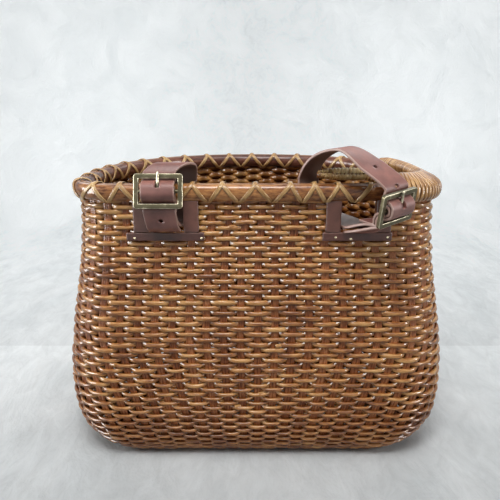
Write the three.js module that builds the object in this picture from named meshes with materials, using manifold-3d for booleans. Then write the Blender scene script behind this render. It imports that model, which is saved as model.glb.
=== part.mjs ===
import * as THREE from 'three';
import { mergeVertices } from 'three/addons/utils/BufferGeometryUtils.js';
import Module from 'manifold-3d';

// Woven bicycle basket with a lashed cane rim and two buckled leather straps.
// Millimetres, +Z up. The origin is the centre of the base underside, the flat strap side faces -Y.

const wasm = await Module();
wasm.setup();

// Woven body: plan at the neck, just under the rim
const RIM_HEIGHT = 248;
const NECK_HALF_WIDTH = 142;
const NECK_FRONT = 58;
const NECK_BACK = 132;
const NECK_CORNER = 32;
const BACK_SQUARENESS = 2.2;
const WALL = 5;
const BASE_THICKNESS = 5;

// Swell of the belly and tuck of the foot, measured from the neck plan
const BELLY_HEIGHT = 64;
const SIDE_SWELL = 24.3;
const FRONT_SWELL = 5;
const BACK_SWELL = 18;
const CORNER_SWELL = 14;
const SIDE_TUCK = 52;
const FRONT_TUCK = 27;
const BACK_TUCK = 50;
const CORNER_TUCK = 14;
const FOOT_ROUNDNESS = 2.5;
const FOOT_LAY = 1.6;

// Stakes: the flat uprights whose tops stand between the rim canes, gathered towards the foot
const STAKES = 58;
const STAKE_THICKNESS = 2.4;
const STAKE_WIDTH = 6.5;
const STAKES_PER_LASHING = 2;
const STAKE_PITCH = 12.8;
const STAKE_SPREAD = 0.14;
const STAKE_SHIFT = 1;
const FOOT_GATHER = 0.26;
const GATHER_HEIGHT = 125;
const EVEN_STAKES = 5;
const TURNED_STAKES = 13;

// Weavers: rows of round reed in front of and behind the stakes in turn
const ROW_PITCH = 4.6;
const ROW_CLOSING = 1.3;
const WIDEST_ROW = 118;
const TOP_ROW_DEPTH = 3.1;
const LOWEST_ROW = 5;
const RELIEF = 2.2;

// Rim: half-round canes outside and inside, a thin reed on top, a spliced tail over the inner cane
const CANE_HEIGHT = 12.5;
const OUTER_CANE = 5.2;
const INNER_CANE = 6;
const REED_RADIUS = 1.6;
const TAIL_RADIUS = 3.4;
const TAIL_END_RADIUS = 2.2;
const TAIL_LEAN = THREE.MathUtils.degToRad(50);
const TAIL_START_X = 46;
const TAIL_TAPER = 14;

// Split-cane strips: crossed lashing round the rim, close binding round the splice and its tail
const STRIP = 1;
const LASHING_TURNS = 24;
const LASHING_WIDTH = 4.2;
const BINDING_TURNS = 22;
const BINDING_LENGTH = 150;
const BINDING_START_X = 96;
const BINDING_GAP = 1.5;
const TAIL_TURNS = 9;
const TAIL_BINDING_GAP = 0.9;
const STRIP_SIDES = 8;
const TOP_OF_OUTLINE = 1.5;

// Strap windows cut through the front wall, edged with leather strips
const WINDOW_WIDTH = 26.5;
const WINDOW_DEPTH = 38.5;
const WINDOW_SPACING = 146;
const WINDOW_SHIFT = 4;
const EDGING_WIDTH = 11.5;
const SILL_EDGING_HEIGHT = 7;
const EDGING = 2;

// Leather straps with centre-bar buckles
const STRAP_WIDTH = 24;
const STRAP = 2;
const HOLE_RADIUS = 2;
const HOLE_SPACING = 20;
const BUCKLE_WIDTH = 35.6;
const BUCKLE_HEIGHT = 25.4;
const BUCKLE_BAR = 4;
const BUCKLE_THICKNESS = 3;
const BUCKLE_CORNER = 3;
const CENTRE_BAR_RADIUS = 1.5;
const PRONG_RADIUS = 1;
const PRONG_OVERHANG = 1.2;
const PRONG_PLAY = 0.7;
const TILT_PLAY = 1.6;
const CREST_BREADTH = 1.3;
const SHORT_END = 1.5;
const LAYER_GAP = 0.5;

// Clearances and mesh steps
const CLEARANCE = 0.3;
const LASHING_CLEARANCE = 0.5;
const FRONT_STEPS = 2;
const CORNER_STEPS = 9;
const SIDE_STEPS = 2;
const BACK_STEPS = 38;
const TAIL_STEPS = 8;
const FOOT_ROWS = 3;
const BELLY_ROWS = 3;
const ROW_SEARCH = 0.05;
const ROUND_STEPS = 5;
const ROD_SIDES = 8;
const REED_SIDES = 6;
const FOLD_STEPS = 6;
const TONGUE_STEPS = 6;
const RIBBON_STEP = 6;
const SEARCH_STEPS = 4000;

// Heights of the rim, from the top of the canes down
const RIM_MID = RIM_HEIGHT - CANE_HEIGHT / 2;
const CROSSING_LIFT = STRIP + 2 * CLEARANCE;
const LASHING_DEPTH = LASHING_CLEARANCE + STRIP + CROSSING_LIFT;
const NECK_HEIGHT = RIM_HEIGHT - CANE_HEIGHT - LASHING_DEPTH - CLEARANCE;
const CANE_SEAT = STAKE_THICKNESS / 2 + CLEARANCE;
const REED_UP = CANE_HEIGHT / 2 + Math.sqrt((REED_RADIUS + CLEARANCE) ** 2 - CANE_SEAT ** 2);
const STAKE_TOP = RIM_MID + REED_UP - REED_RADIUS - CLEARANCE;
const WINDOW_SILL = RIM_HEIGHT - WINDOW_DEPTH;

const materials = {
  weave: { color: 0xa9743c, roughness: 0.45 },
  cane: { color: 0x8a5426, roughness: 0.35 },
  strip: { color: 0xc79a55, roughness: 0.4 },
  edging: { color: 0x4a302c, roughness: 0.6 },
  leather: { color: 0x7a5048, roughness: 0.55 },
  brass: { color: 0x77744f, roughness: 0.4, metalness: 0.9 },
};

const basket = new THREE.Group();

/** Adds one named solid with a material of its own. */
function addPart(name, geometry, finish) {
  const mesh = new THREE.Mesh(geometry, new THREE.MeshStandardMaterial(materials[finish]));
  mesh.name = name;
  basket.add(mesh);
}

/** Turns an indexed geometry inside out when its faces point inward. */
function facingOut(geometry) {
  const position = geometry.attributes.position;
  const index = geometry.index.array;
  const [a, b, c] = [new THREE.Vector3(), new THREE.Vector3(), new THREE.Vector3()];
  let volume = 0;
  for (let i = 0; i < index.length; i += 3) {
    a.fromBufferAttribute(position, index[i]);
    b.fromBufferAttribute(position, index[i + 1]);
    c.fromBufferAttribute(position, index[i + 2]);
    volume += a.dot(b.cross(c));
  }
  if (volume < 0) {
    index.reverse();
  }
  return geometry;
}

/** Closed solid through rings of equal length, capped unless the last ring meets the first. */
function loft(rings, closed = false) {
  const size = rings[0].length;
  const index = [];
  const spans = closed ? rings.length : rings.length - 1;
  for (let i = 0; i < spans; i++) {
    const here = i * size;
    const next = ((i + 1) % rings.length) * size;
    for (let j = 0; j < size; j++) {
      const k = (j + 1) % size;
      index.push(here + j, here + k, next + k, here + j, next + k, next + j);
    }
  }
  if (!closed) {
    const last = (rings.length - 1) * size;
    for (let j = 1; j < size - 1; j++) {
      index.push(0, j + 1, j, last, last + j, last + j + 1);
    }
  }
  const geometry = new THREE.BufferGeometry().setFromPoints(rings.flat());
  geometry.setIndex(index);
  return facingOut(geometry);
}

/** Solid for cutting and joining, from any closed geometry. */
function solidOf(geometry) {
  const bare = geometry.clone();
  bare.deleteAttribute('normal');
  bare.deleteAttribute('uv');
  const merged = mergeVertices(bare);
  const mesh = new wasm.Mesh({
    numProp: 3,
    vertProperties: new Float32Array(merged.attributes.position.array),
    triVerts: new Uint32Array(merged.index.array),
  });
  return new wasm.Manifold(mesh);
}

/** Geometry of a cut or joined solid. */
function geometryOf(solid) {
  const mesh = solid.getMesh();
  const geometry = new THREE.BufferGeometry();
  geometry.setAttribute('position', new THREE.BufferAttribute(mesh.vertProperties, 3));
  geometry.setIndex(new THREE.BufferAttribute(mesh.triVerts, 1));
  return geometry;
}

/** The geometry with every cutter taken away. */
function cut(geometry, cutters) {
  const solid = cutters.reduce((rest, cutter) => rest.subtract(solidOf(cutter)), solidOf(geometry));
  return geometryOf(solid);
}

/** Box between two corners. */
function boxBetween(low, high) {
  const size = new THREE.Vector3().subVectors(high, low);
  const middle = new THREE.Vector3().addVectors(low, high).multiplyScalar(0.5);
  return new THREE.BoxGeometry(size.x, size.y, size.z).translate(middle.x, middle.y, middle.z);
}

// Body plan

/** How far the foot is drawn in at a height, from 0 at the belly to 1 on the floor. */
function tuckAt(height) {
  const below = Math.max(0, 1 - height / BELLY_HEIGHT);
  return 1 - (1 - below ** FOOT_ROUNDNESS) ** (1 / FOOT_ROUNDNESS);
}

/** How far the wall has swelled at a height, from 0 at the neck to 1 at the belly. */
function swellAt(height) {
  const rise = THREE.MathUtils.clamp((height - BELLY_HEIGHT) / (NECK_HEIGHT - BELLY_HEIGHT), 0, 1);
  return (1 + Math.cos(Math.PI * rise)) / 2;
}

/** Plan sizes of the outer wall face at a height. */
function sectionAt(height) {
  const tuck = tuckAt(height);
  const swell = swellAt(height);
  return {
    side: NECK_HALF_WIDTH + SIDE_SWELL * swell - SIDE_TUCK * tuck,
    front: NECK_FRONT + FRONT_SWELL * swell - FRONT_TUCK * tuck,
    back: NECK_BACK + BACK_SWELL * swell - BACK_TUCK * tuck,
    corner: NECK_CORNER + CORNER_SWELL * swell - CORNER_TUCK * tuck,
  };
}

const floor = sectionAt(0);
const neck = sectionAt(NECK_HEIGHT);
const PLAN_SHIFT = (floor.front - floor.back) / 2;

/** Columns round the plan: which stretch each is on and how far along, from the front left, by the right. */
function planColumns() {
  const stretches = [
    ['front', FRONT_STEPS],
    ['rightCorner', CORNER_STEPS],
    ['rightSide', SIDE_STEPS],
    ['back', BACK_STEPS],
    ['leftSide', SIDE_STEPS],
    ['leftCorner', CORNER_STEPS],
  ];
  const steps = ([stretch, count]) => Array.from({ length: count }, (_, i) => ({ stretch, at: i / count }));
  return stretches.flatMap(steps);
}

/** Place and outward normal of a column on a plan section. */
function planPoint({ stretch, at }, { side, front, back, corner }) {
  const bend = at * Math.PI / 2;
  switch (stretch) {
    case 'front':
      return place((side - corner) * (2 * at - 1), -front, 0, -1);
    case 'rightCorner':
      return place(side - corner + corner * Math.sin(bend), -front + corner * (1 - Math.cos(bend)),
        Math.sin(bend), -Math.cos(bend));
    case 'rightSide':
      return place(side, (corner - front) * (1 - at), 1, 0);
    case 'back':
      return backPoint(at * Math.PI, side, back);
    case 'leftSide':
      return place(-side, (corner - front) * at, -1, 0);
    default:
      return place(corner - side - corner * Math.cos(bend), corner - front - corner * Math.sin(bend),
        -Math.cos(bend), -Math.sin(bend));
  }
}

/** Point of the bowed back at an angle from the right side. */
function backPoint(angle, side, back) {
  const power = 2 / BACK_SQUARENESS;
  const [c, s] = [Math.cos(angle), Math.sin(angle)];
  const across = Math.sign(c) * Math.abs(c) ** (2 - power) / side;
  const away = Math.abs(s) ** (2 - power) / back;
  const length = Math.hypot(across, away);
  return place(side * Math.sign(c) * Math.abs(c) ** power, back * Math.abs(s) ** power,
    across / length, away / length);
}

/** A plan point, shifted to the part's frame, with its normal. */
function place(x, y, normalX, normalY) {
  return { point: new THREE.Vector2(x, y + PLAN_SHIFT), normal: new THREE.Vector2(normalX, normalY) };
}

const columns = planColumns();
const FRONT_Y = PLAN_SHIFT - neck.front;

/** Closed outline of a plan section, moved in by an inset, measured along its straight steps. */
function outlineOf(section, inset = 0) {
  const stations = columns.map((column) => {
    const { point, normal } = planPoint(column, section);
    return { point: point.addScaledVector(normal, -inset), normal };
  });
  const ways = [0];
  stations.forEach(({ point }, i) => ways.push(ways[i] + point.distanceTo(stations[(i + 1) % stations.length].point)));
  return { stations, ways, length: ways.at(-1) };
}

/** Point and outward normal of an outline at a way along it. */
function alongOutline({ stations, ways, length }, way) {
  const along = THREE.MathUtils.euclideanModulo(way, length);
  const i = ways.findLastIndex((start, k) => start <= along && k < stations.length);
  const share = (along - ways[i]) / (ways[i + 1] - ways[i]);
  const [here, next] = [stations[i], stations[(i + 1) % stations.length]];
  return { point: here.point.clone().lerp(next.point, share), normal: here.normal.clone().lerp(next.normal, share) };
}

// Rim path: the middle of the wall at the neck

const rimPath = outlineOf(neck, WALL / 2);
const RIM_LENGTH = rimPath.length;

/** Point of the rim: way along it, out from its middle, up from the middle of the canes. */
function rimPoint(way, out, up) {
  const { point, normal } = alongOutline(rimPath, way);
  point.addScaledVector(normal, out);
  return new THREE.Vector3(point.x, point.y, RIM_MID + up);
}

/** Ways of every rim station between two ways, with both ends. */
function waysBetween(start, end) {
  const turns = [0, RIM_LENGTH].flatMap((turn) => rimPath.ways.map((way) => way + turn));
  return [start, ...new Set(turns.filter((way) => way > start + CLEARANCE && way < end - CLEARANCE)), end];
}

/** Way along the rim of a point on the straight front. */
function frontWay(x) {
  return x + neck.side - neck.corner;
}

// Rim members, as sections of [out, up] points

/** Half-round cane with its flat side against the stakes; side is 1 outside and -1 inside. */
function caneSection(thickness, side) {
  return Array.from({ length: ROUND_STEPS + 1 }, (_, i) => {
    const angle = Math.PI * (i / ROUND_STEPS - 0.5);
    return [side * (CANE_SEAT + thickness * Math.cos(angle)), CANE_HEIGHT / 2 * Math.sin(angle)];
  });
}

/** Round rod. */
function rodSection(out, up, radius, sides = ROD_SIDES) {
  return Array.from({ length: sides }, (_, i) => {
    const angle = 2 * Math.PI * i / sides;
    return [out + radius * Math.cos(angle), up + radius * Math.sin(angle)];
  });
}

/** Corners of the flat-sided outline that just clears a set of section points. */
function outlineRound(points, clearance) {
  const supports = Array.from({ length: STRIP_SIDES }, (_, i) => {
    const angle = 2 * Math.PI * i / STRIP_SIDES;
    const [x, y] = [Math.cos(angle), Math.sin(angle)];
    return { x, y, reach: Math.max(...points.map(([out, up]) => out * x + up * y)) + clearance };
  });
  return supports.map((a, i) => {
    const b = supports[(i + 1) % STRIP_SIDES];
    const cross = a.x * b.y - a.y * b.x;
    return [(a.reach * b.y - b.reach * a.y) / cross, (a.x * b.reach - b.x * a.reach) / cross];
  });
}

const outerCane = caneSection(OUTER_CANE, 1);
const innerCane = caneSection(INNER_CANE, -1);
const reed = rodSection(0, REED_UP, REED_RADIUS, REED_SIDES);

/** Middle of the splice tail when it stands off the inner cane by a gap. */
function tailMiddle(gap) {
  const reach = Math.max(INNER_CANE, CANE_HEIGHT / 2) + gap + TAIL_RADIUS;
  return [-CANE_SEAT - reach * Math.cos(TAIL_LEAN), reach * Math.sin(TAIL_LEAN)];
}

const bindingStart = frontWay(BINDING_START_X);
const bindingEnd = bindingStart + BINDING_LENGTH;
const tailStart = frontWay(TAIL_START_X);
const tailSeat = tailMiddle(CLEARANCE);
const tailPerch = tailMiddle(LASHING_DEPTH + LASHING_CLEARANCE + STRIP + CLEARANCE);

/** Middle and radius of the splice tail at a way along the rim. */
function tailAt(way) {
  const settled = THREE.MathUtils.smoothstep(way, bindingStart - TAIL_TAPER, bindingStart);
  const ends = Math.min(way - tailStart, bindingEnd - way) / TAIL_TAPER;
  const radius = THREE.MathUtils.lerp(TAIL_END_RADIUS, TAIL_RADIUS, THREE.MathUtils.clamp(ends, 0, 1));
  const out = THREE.MathUtils.lerp(tailPerch[0], tailSeat[0], settled);
  const up = THREE.MathUtils.lerp(tailPerch[1], tailSeat[1], settled);
  return { out, up, radius };
}

/** Hoop of one section all the way round the rim. */
function hoop(section) {
  const rings = rimPath.ways.slice(0, -1).map((way) => section.map(([out, up]) => rimPoint(way, out, up)));
  return loft(rings, true);
}

/**
 * Flat strip wound round the rim. outlineAt gives the inner outline at a way along the rim, and lift raises
 * the strip on single sides where another strip passes under it.
 */
function windStrip({ start, pitch, turns, width, outlineAt, lift = () => 0 }) {
  const rings = [];
  for (let step = 0; step <= turns * STRIP_SIDES; step++) {
    const way = start + pitch * (step - TOP_OF_OUTLINE) / STRIP_SIDES;
    const side = step % STRIP_SIDES;
    const under = outlineAt(way, lift(side))[side];
    const over = outlineAt(way, lift(side) + STRIP)[side];
    const [before, after] = [way - width / 2, way + width / 2];
    rings.push([
      rimPoint(before, ...under), rimPoint(after, ...under),
      rimPoint(after, ...over), rimPoint(before, ...over),
    ]);
  }
  return rings;
}

/** Least distance between neighbouring turns of a winding, on its ring points. */
function leastGap(rings) {
  let least = Infinity;
  rings.forEach((ring, i) => {
    const next = rings[i + STRIP_SIDES];
    if (next) {
      const edges = ring.flatMap((point) => next.map((other) => point.distanceTo(other)));
      least = Math.min(least, ...edges);
    }
  });
  return least;
}

/** Adds a winding and prints its least gap to itself. */
function addWinding(name, winding) {
  const rings = windStrip(winding);
  console.log(`${name}: least gap between turns ${leastGap(rings).toFixed(2)} mm`);
  addPart(name, loft(rings), 'strip');
}

// Woven wall and base

const lashingStart = bindingEnd + 2 * LASHING_WIDTH;
const lashingEnd = bindingStart + RIM_LENGTH - 2 * LASHING_WIDTH;
const lashingPitch = (lashingEnd - lashingStart) / LASHING_TURNS;
const windows = [-1, 1].map((hand) => WINDOW_SHIFT + hand * WINDOW_SPACING / 2);

/** Heights of the wall's plain inner face, close together where the foot turns. */
function innerRows() {
  const foot = Array.from({ length: FOOT_ROWS }, (_, i) => (
    BELLY_HEIGHT * (1 - Math.cos(Math.PI / 2 * i / FOOT_ROWS))
  ));
  const body = Array.from({ length: BELLY_ROWS + 1 }, (_, i) => (
    THREE.MathUtils.lerp(BELLY_HEIGHT, NECK_HEIGHT, i / BELLY_ROWS)
  ));
  return [...foot, ...body];
}

/** Heights of the weaver rows from the top one down, closer towards the rim and closest at the foot. */
function weaverRows() {
  const tuck = (SIDE_TUCK + FRONT_TUCK + BACK_TUCK) / 3;
  const rows = [];
  let counted = 0;
  for (let height = NECK_HEIGHT - TOP_ROW_DEPTH; height > LOWEST_ROW; height -= ROW_SEARCH) {
    if (counted >= rows.length) {
      rows.push(height);
    }
    const closing = ROW_CLOSING * (height / WIDEST_ROW - 1) ** 2;
    const pitch = ROW_PITCH - (height < WIDEST_ROW ? closing : closing / 2);
    counted += Math.hypot(ROW_SEARCH, tuck * (tuckAt(height - ROW_SEARCH) - tuckAt(height))) / pitch;
  }
  return rows;
}

/** Ways along an outline of all stakes: even on the front, wider or closer round the rest. */
function stakeWays({ side, corner }, length, height) {
  const gather = FOOT_GATHER * Math.max(0, 1 - height / GATHER_HEIGHT);
  const pitch = STAKE_PITCH * (1 + STAKE_SPREAD * swellAt(height)) * (1 - gather);
  const shares = Array.from({ length: STAKES }, (_, i) => (
    THREE.MathUtils.smoothstep(Math.min(i, STAKES - 1 - i) + 0.5, EVEN_STAKES, TURNED_STAKES)
  ));
  const change = (length - STAKES * pitch) / shares.reduce((sum, share) => sum + share);
  let way = side - corner + STAKE_SHIFT;
  return shares.map((share) => {
    const here = way;
    way += pitch + change * share;
    return here;
  });
}

/** Points of all stakes at a height, at a depth under the outer face that may differ from stake to stake. */
function stakeRow(height, depthOf) {
  const section = sectionAt(height);
  const outline = outlineOf(section);
  const lay = Math.max(0, 1 - height / BELLY_HEIGHT) ** FOOT_LAY;
  return stakeWays(section, outline.length, height).map((way, stake) => {
    const { point, normal } = alongOutline(outline, way);
    const depth = depthOf(stake);
    point.addScaledVector(normal, -depth * Math.sqrt(1 - lay * lay));
    return new THREE.Vector3(point.x, point.y, height + depth * lay);
  });
}

/** Wall shell: woven relief outside, where every crossing is raised or sunk in turn, and a plain face inside. */
function wallShell() {
  const even = (depth) => () => depth;
  const weave = weaverRows().map((height, row) => {
    const relief = RELIEF * Math.min(1, height / BELLY_HEIGHT);
    return stakeRow(height, (stake) => ((stake + row) % 2 ? relief : 0));
  });
  const outer = [stakeRow(NECK_HEIGHT, even(0)), ...weave, stakeRow(0, even(0))];
  const inner = innerRows().map((height) => stakeRow(height, even(WALL)));
  const rows = [...outer, ...inner];
  return loft(Array.from({ length: STAKES }, (_, stake) => rows.map((row) => row[stake])), true);
}

/** Stake tops between the rim canes, one between each two passes of the lashing, and none in the binding. */
function stakeTops() {
  const pitch = lashingPitch / STAKES_PER_LASHING;
  const half = STAKE_THICKNESS / 2;
  const low = NECK_HEIGHT - RIM_MID - WALL / 2;
  const high = STAKE_TOP - RIM_MID;
  const section = [[-half, low], [half, low], [half, high], [-half, high]];
  return Array.from({ length: LASHING_TURNS * STAKES_PER_LASHING }, (_, i) => {
    const middle = lashingStart + pitch * (i + 0.5);
    const ways = waysBetween(middle - STAKE_WIDTH / 2, middle + STAKE_WIDTH / 2);
    return loft(ways.map((way) => section.map(([out, up]) => rimPoint(way, out, up))));
  });
}

/** Cutter for one strap window, from its sill up through the stake tops. */
function windowCutter(x) {
  const reach = new THREE.Vector3(WINDOW_WIDTH / 2, 2 * WALL, 0);
  const low = new THREE.Vector3(x, FRONT_Y, WINDOW_SILL).sub(reach);
  const high = new THREE.Vector3(x, FRONT_Y, RIM_HEIGHT).add(reach);
  return boxBetween(low, high);
}

/** Leather strip nailed on the front wall face, following its curve. */
function edgingStrip(left, right, low, high) {
  const steps = Math.ceil((right - left) / EDGING_WIDTH);
  const rings = Array.from({ length: steps + 1 }, (_, i) => {
    const x = THREE.MathUtils.lerp(left, right, i / steps);
    return [[low, CLEARANCE], [high, CLEARANCE], [high, CLEARANCE + EDGING], [low, CLEARANCE + EDGING]]
      .map(([height, out]) => new THREE.Vector3(x, frontFace(x, height) - out, height));
  });
  return loft(rings);
}

/** Y of the outer front face at a place along it and a height. */
function frontFace(x, height) {
  const { side, front, corner } = sectionAt(height);
  const past = Math.max(0, Math.abs(x) - (side - corner));
  return PLAN_SHIFT - front + corner - Math.sqrt(corner * corner - past * past);
}

function addBody() {
  const wall = stakeTops().reduce((solid, top) => solid.add(solidOf(top)), solidOf(wallShell()));
  addPart('woven_wall', cut(geometryOf(wall), windows.map(windowCutter)), 'weave');
  const foot = outlineOf(floor);
  const outline = (height) => stakeWays(floor, foot.length, 0).map((way) => {
    const { point, normal } = alongOutline(foot, way);
    point.addScaledVector(normal, -CLEARANCE);
    return new THREE.Vector3(point.x, point.y, height);
  });
  addPart('woven_base', loft([outline(0), outline(BASE_THICKNESS)]), 'weave');
}

function addEdgings() {
  const top = NECK_HEIGHT - CLEARANCE;
  ['left', 'right'].forEach((hand, i) => {
    const [left, right] = [windows[i] - WINDOW_WIDTH / 2, windows[i] + WINDOW_WIDTH / 2];
    const [outerLeft, outerRight] = [left - EDGING_WIDTH, right + EDGING_WIDTH];
    const sill = WINDOW_SILL - CLEARANCE;
    addPart(`${hand}_window_left_edging`, edgingStrip(outerLeft, left, WINDOW_SILL, top), 'edging');
    addPart(`${hand}_window_right_edging`, edgingStrip(right, outerRight, WINDOW_SILL, top), 'edging');
    addPart(`${hand}_window_sill_edging`, edgingStrip(outerLeft, outerRight, sill - SILL_EDGING_HEIGHT, sill),
      'edging');
  });
}

// Rim

function addRim() {
  addPart('rim_outer_cane', hoop(outerCane), 'cane');
  addPart('rim_inner_cane', hoop(innerCane), 'cane');
  addPart('rim_top_reed', hoop(reed), 'cane');
  const free = Array.from({ length: TAIL_STEPS }, (_, i) => (
    THREE.MathUtils.lerp(tailStart, bindingStart, i / TAIL_STEPS)
  ));
  const tailRings = [...free, ...waysBetween(bindingStart, bindingEnd)].map((way) => {
    const { out, up, radius } = tailAt(way);
    return rodSection(out, up, radius).map((point) => rimPoint(way, ...point));
  });
  addPart('rim_splice_tail', loft(tailRings), 'cane');
}

function addWindings() {
  const members = [...outerCane, ...innerCane, ...reed];
  const bundle = (way, lift) => outlineRound(members, LASHING_CLEARANCE + lift);
  const crossing = (side) => ([1, 2, 5, 6].includes(side) ? CROSSING_LIFT : 0);
  const lashing = { turns: LASHING_TURNS, width: LASHING_WIDTH, outlineAt: bundle };
  addWinding('lashing_first_pass', { ...lashing, start: lashingStart, pitch: lashingPitch });
  addWinding('lashing_second_pass', { ...lashing, start: lashingEnd, pitch: -lashingPitch, lift: crossing });

  const bindingPitch = BINDING_LENGTH / (BINDING_TURNS + 1);
  const splice = (way, lift) => {
    const { out, up, radius } = tailAt(way);
    return outlineRound([...members, ...rodSection(out, up, radius)], LASHING_CLEARANCE + lift);
  };
  addWinding('splice_binding', {
    start: bindingStart + bindingPitch,
    pitch: bindingPitch,
    turns: BINDING_TURNS,
    width: bindingPitch - BINDING_GAP,
    outlineAt: splice,
  });

  const tailPitch = (bindingStart - tailStart - TAIL_TAPER) / (TAIL_TURNS + 1);
  const tail = (way, lift) => {
    const { out, up, radius } = tailAt(way);
    return outlineRound(rodSection(out, up, radius), LASHING_CLEARANCE + lift);
  };
  addWinding('tail_binding', {
    start: tailStart + tailPitch,
    pitch: tailPitch,
    turns: TAIL_TURNS,
    width: tailPitch - TAIL_BINDING_GAP,
    outlineAt: tail,
  });
}

// Straps and buckles

const rimFace = FRONT_Y + WALL / 2 - CANE_SEAT - OUTER_CANE;
const rimInside = FRONT_Y + WALL / 2 + CANE_SEAT + INNER_CANE;
const barReach = (BUCKLE_HEIGHT - BUCKLE_BAR) / 2;
const foldRadius = CENTRE_BAR_RADIUS + CLEARANCE + STRAP / 2;
const layer = STRAP + LAYER_GAP;
const crestHeight = foldRadius + layer;
const underBar = -(BUCKLE_THICKNESS / 2 + TILT_PLAY + STRAP / 2);
const pastBar = -(barReach + BUCKLE_BAR / 2 + SHORT_END);

/** Frame of a buckle: x along its bars, y towards the prong's tip, z out of its face. */
function buckleFrame(middle, alongBar, towardsTip) {
  const x = new THREE.Vector3(...alongBar).normalize();
  const z = new THREE.Vector3().crossVectors(x, new THREE.Vector3(...towardsTip)).normalize();
  const y = new THREE.Vector3().crossVectors(z, x);
  return new THREE.Matrix4().makeBasis(x, y, z).setPosition(...middle);
}

/** Height of the strap's tongue over the buckle plane, rising under a bar to its crest on the centre bar. */
function tongueHeight(y) {
  const share = Math.min(1, Math.abs(y) / (barReach - BUCKLE_BAR / 4)) ** CREST_BREADTH;
  return underBar + (crestHeight - underBar) * (1 + Math.cos(Math.PI * share)) / 2;
}

/** Point a layer's depth behind the tongue at a place below the centre bar. */
function behindTongue(y, depth) {
  const slope = (tongueHeight(y + CLEARANCE) - tongueHeight(y - CLEARANCE)) / (2 * CLEARANCE);
  const length = Math.hypot(1, slope);
  return [y + depth * slope / length, tongueHeight(y) - depth / length];
}

/** Points [y, z] of the fold in the buckle frame: the short end, round the centre bar, down under the tongue. */
function foldPoints() {
  const shares = Array.from({ length: TONGUE_STEPS }, (_, i) => (i + 1) / TONGUE_STEPS);
  const turn = Array.from({ length: FOLD_STEPS + 1 }, (_, i) => {
    const angle = Math.PI * (i / FOLD_STEPS - 0.5);
    return [foldRadius * Math.cos(angle), foldRadius * Math.sin(angle)];
  });
  const below = (depth) => shares.map((share) => behindTongue(-barReach * share, depth));
  const back = below(2 * layer).slice(TONGUE_STEPS / 2).reverse();
  return [[pastBar, underBar - 2 * layer], ...back, ...turn, ...below(layer), [pastBar, underBar - layer]];
}

/** Points [y, z] of the tongue in the buckle frame, from above the far bar to below the near bar. */
function tonguePoints() {
  const heights = Array.from({ length: 2 * TONGUE_STEPS + 1 }, (_, i) => {
    const y = barReach * (1 - i / TONGUE_STEPS);
    return [y, tongueHeight(y)];
  });
  return [[-pastBar, underBar], ...heights, [pastBar, underBar]];
}

/**
 * Strap as one ribbon: its folded end on the centre bar, its way through the window and over the rim, and its
 * tongue through the buckle. Loop and tip points are [place, width direction] in the part's frame, holes are
 * counted along the strap from the one on the prong, towards the tip.
 */
function strapGeometry({ frame, loop, tip, holes }) {
  const across = new THREE.Vector3().setFromMatrixColumn(frame, 0);
  const inBuckle = ([y, z]) => ({ place: new THREE.Vector3(0, y, z).applyMatrix4(frame), width: across });
  const free = ([place, width]) => ({ place: new THREE.Vector3(...place), width: new THREE.Vector3(...width) });
  const before = [...foldPoints().map(inBuckle), ...loop.map(free)];
  const points = [...before, ...tonguePoints().map(inBuckle), ...tip.map(free)];
  const ribbon = { points, curve: new THREE.CatmullRomCurve3(points.map(({ place: point }) => point)) };
  const prongPlace = (before.length + 1 + TONGUE_STEPS) / (points.length - 1);
  const punches = holes.map((count) => holePunch(ribbon, placeAlong(ribbon, prongPlace, count * HOLE_SPACING)));
  return cut(loft(ribbonRings(ribbon)), [...prongCutters().map((cutter) => cutter.applyMatrix4(frame)), ...punches]);
}

/** Cutters for the prong in the buckle frame: a slot in the fold and a hole in the tongue. */
function prongCutters() {
  const slot = PRONG_RADIUS + PRONG_PLAY;
  const reach = foldRadius + slot;
  return [
    boxBetween(
      new THREE.Vector3(-slot, -reach, -reach),
      new THREE.Vector3(slot, reach, foldRadius + STRAP / 2 + CLEARANCE / 2),
    ),
    boxBetween(
      new THREE.Vector3(-slot, CENTRE_BAR_RADIUS, foldRadius - PRONG_RADIUS - 2 * PRONG_PLAY),
      new THREE.Vector3(slot, barReach - BUCKLE_BAR / 2, crestHeight + STRAP),
    ),
  ];
}

/** Frame of a ribbon at a place along it: its middle and its half width and half thickness. */
function ribbonFrame({ curve, points }, at) {
  const spans = points.length - 1;
  const i = Math.min(Math.floor(at * spans), spans - 1);
  const across = points[i].width.clone().lerp(points[i + 1].width, at * spans - i).setLength(STRAP_WIDTH / 2);
  const normal = new THREE.Vector3().crossVectors(curve.getTangent(at), across).setLength(STRAP / 2);
  return { middle: curve.getPoint(at), across, normal };
}

/** Rectangles across a ribbon, all along it. */
function ribbonRings(ribbon) {
  const spans = ribbon.points.length - 1;
  const places = ribbon.points.slice(0, -1).flatMap(({ place: point }, i) => {
    const steps = Math.max(1, Math.round(point.distanceTo(ribbon.points[i + 1].place) / RIBBON_STEP));
    return Array.from({ length: steps }, (_, k) => (i + k / steps) / spans);
  });
  return [...places, 1].map((at) => {
    const { middle, across, normal } = ribbonFrame(ribbon, at);
    return [[-1, -1], [1, -1], [1, 1], [-1, 1]].map(([w, n]) => (
      middle.clone().addScaledVector(across, w).addScaledVector(normal, n)
    ));
  });
}

/** Place along a ribbon at a distance from another place, negative towards its start. */
function placeAlong({ curve }, from, distance) {
  let at = from;
  let here = curve.getPoint(at);
  let left = Math.abs(distance);
  while (left > 0) {
    at += Math.sign(distance) / SEARCH_STEPS;
    const next = curve.getPoint(at);
    left -= here.distanceTo(next);
    here = next;
  }
  return at;
}

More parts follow.
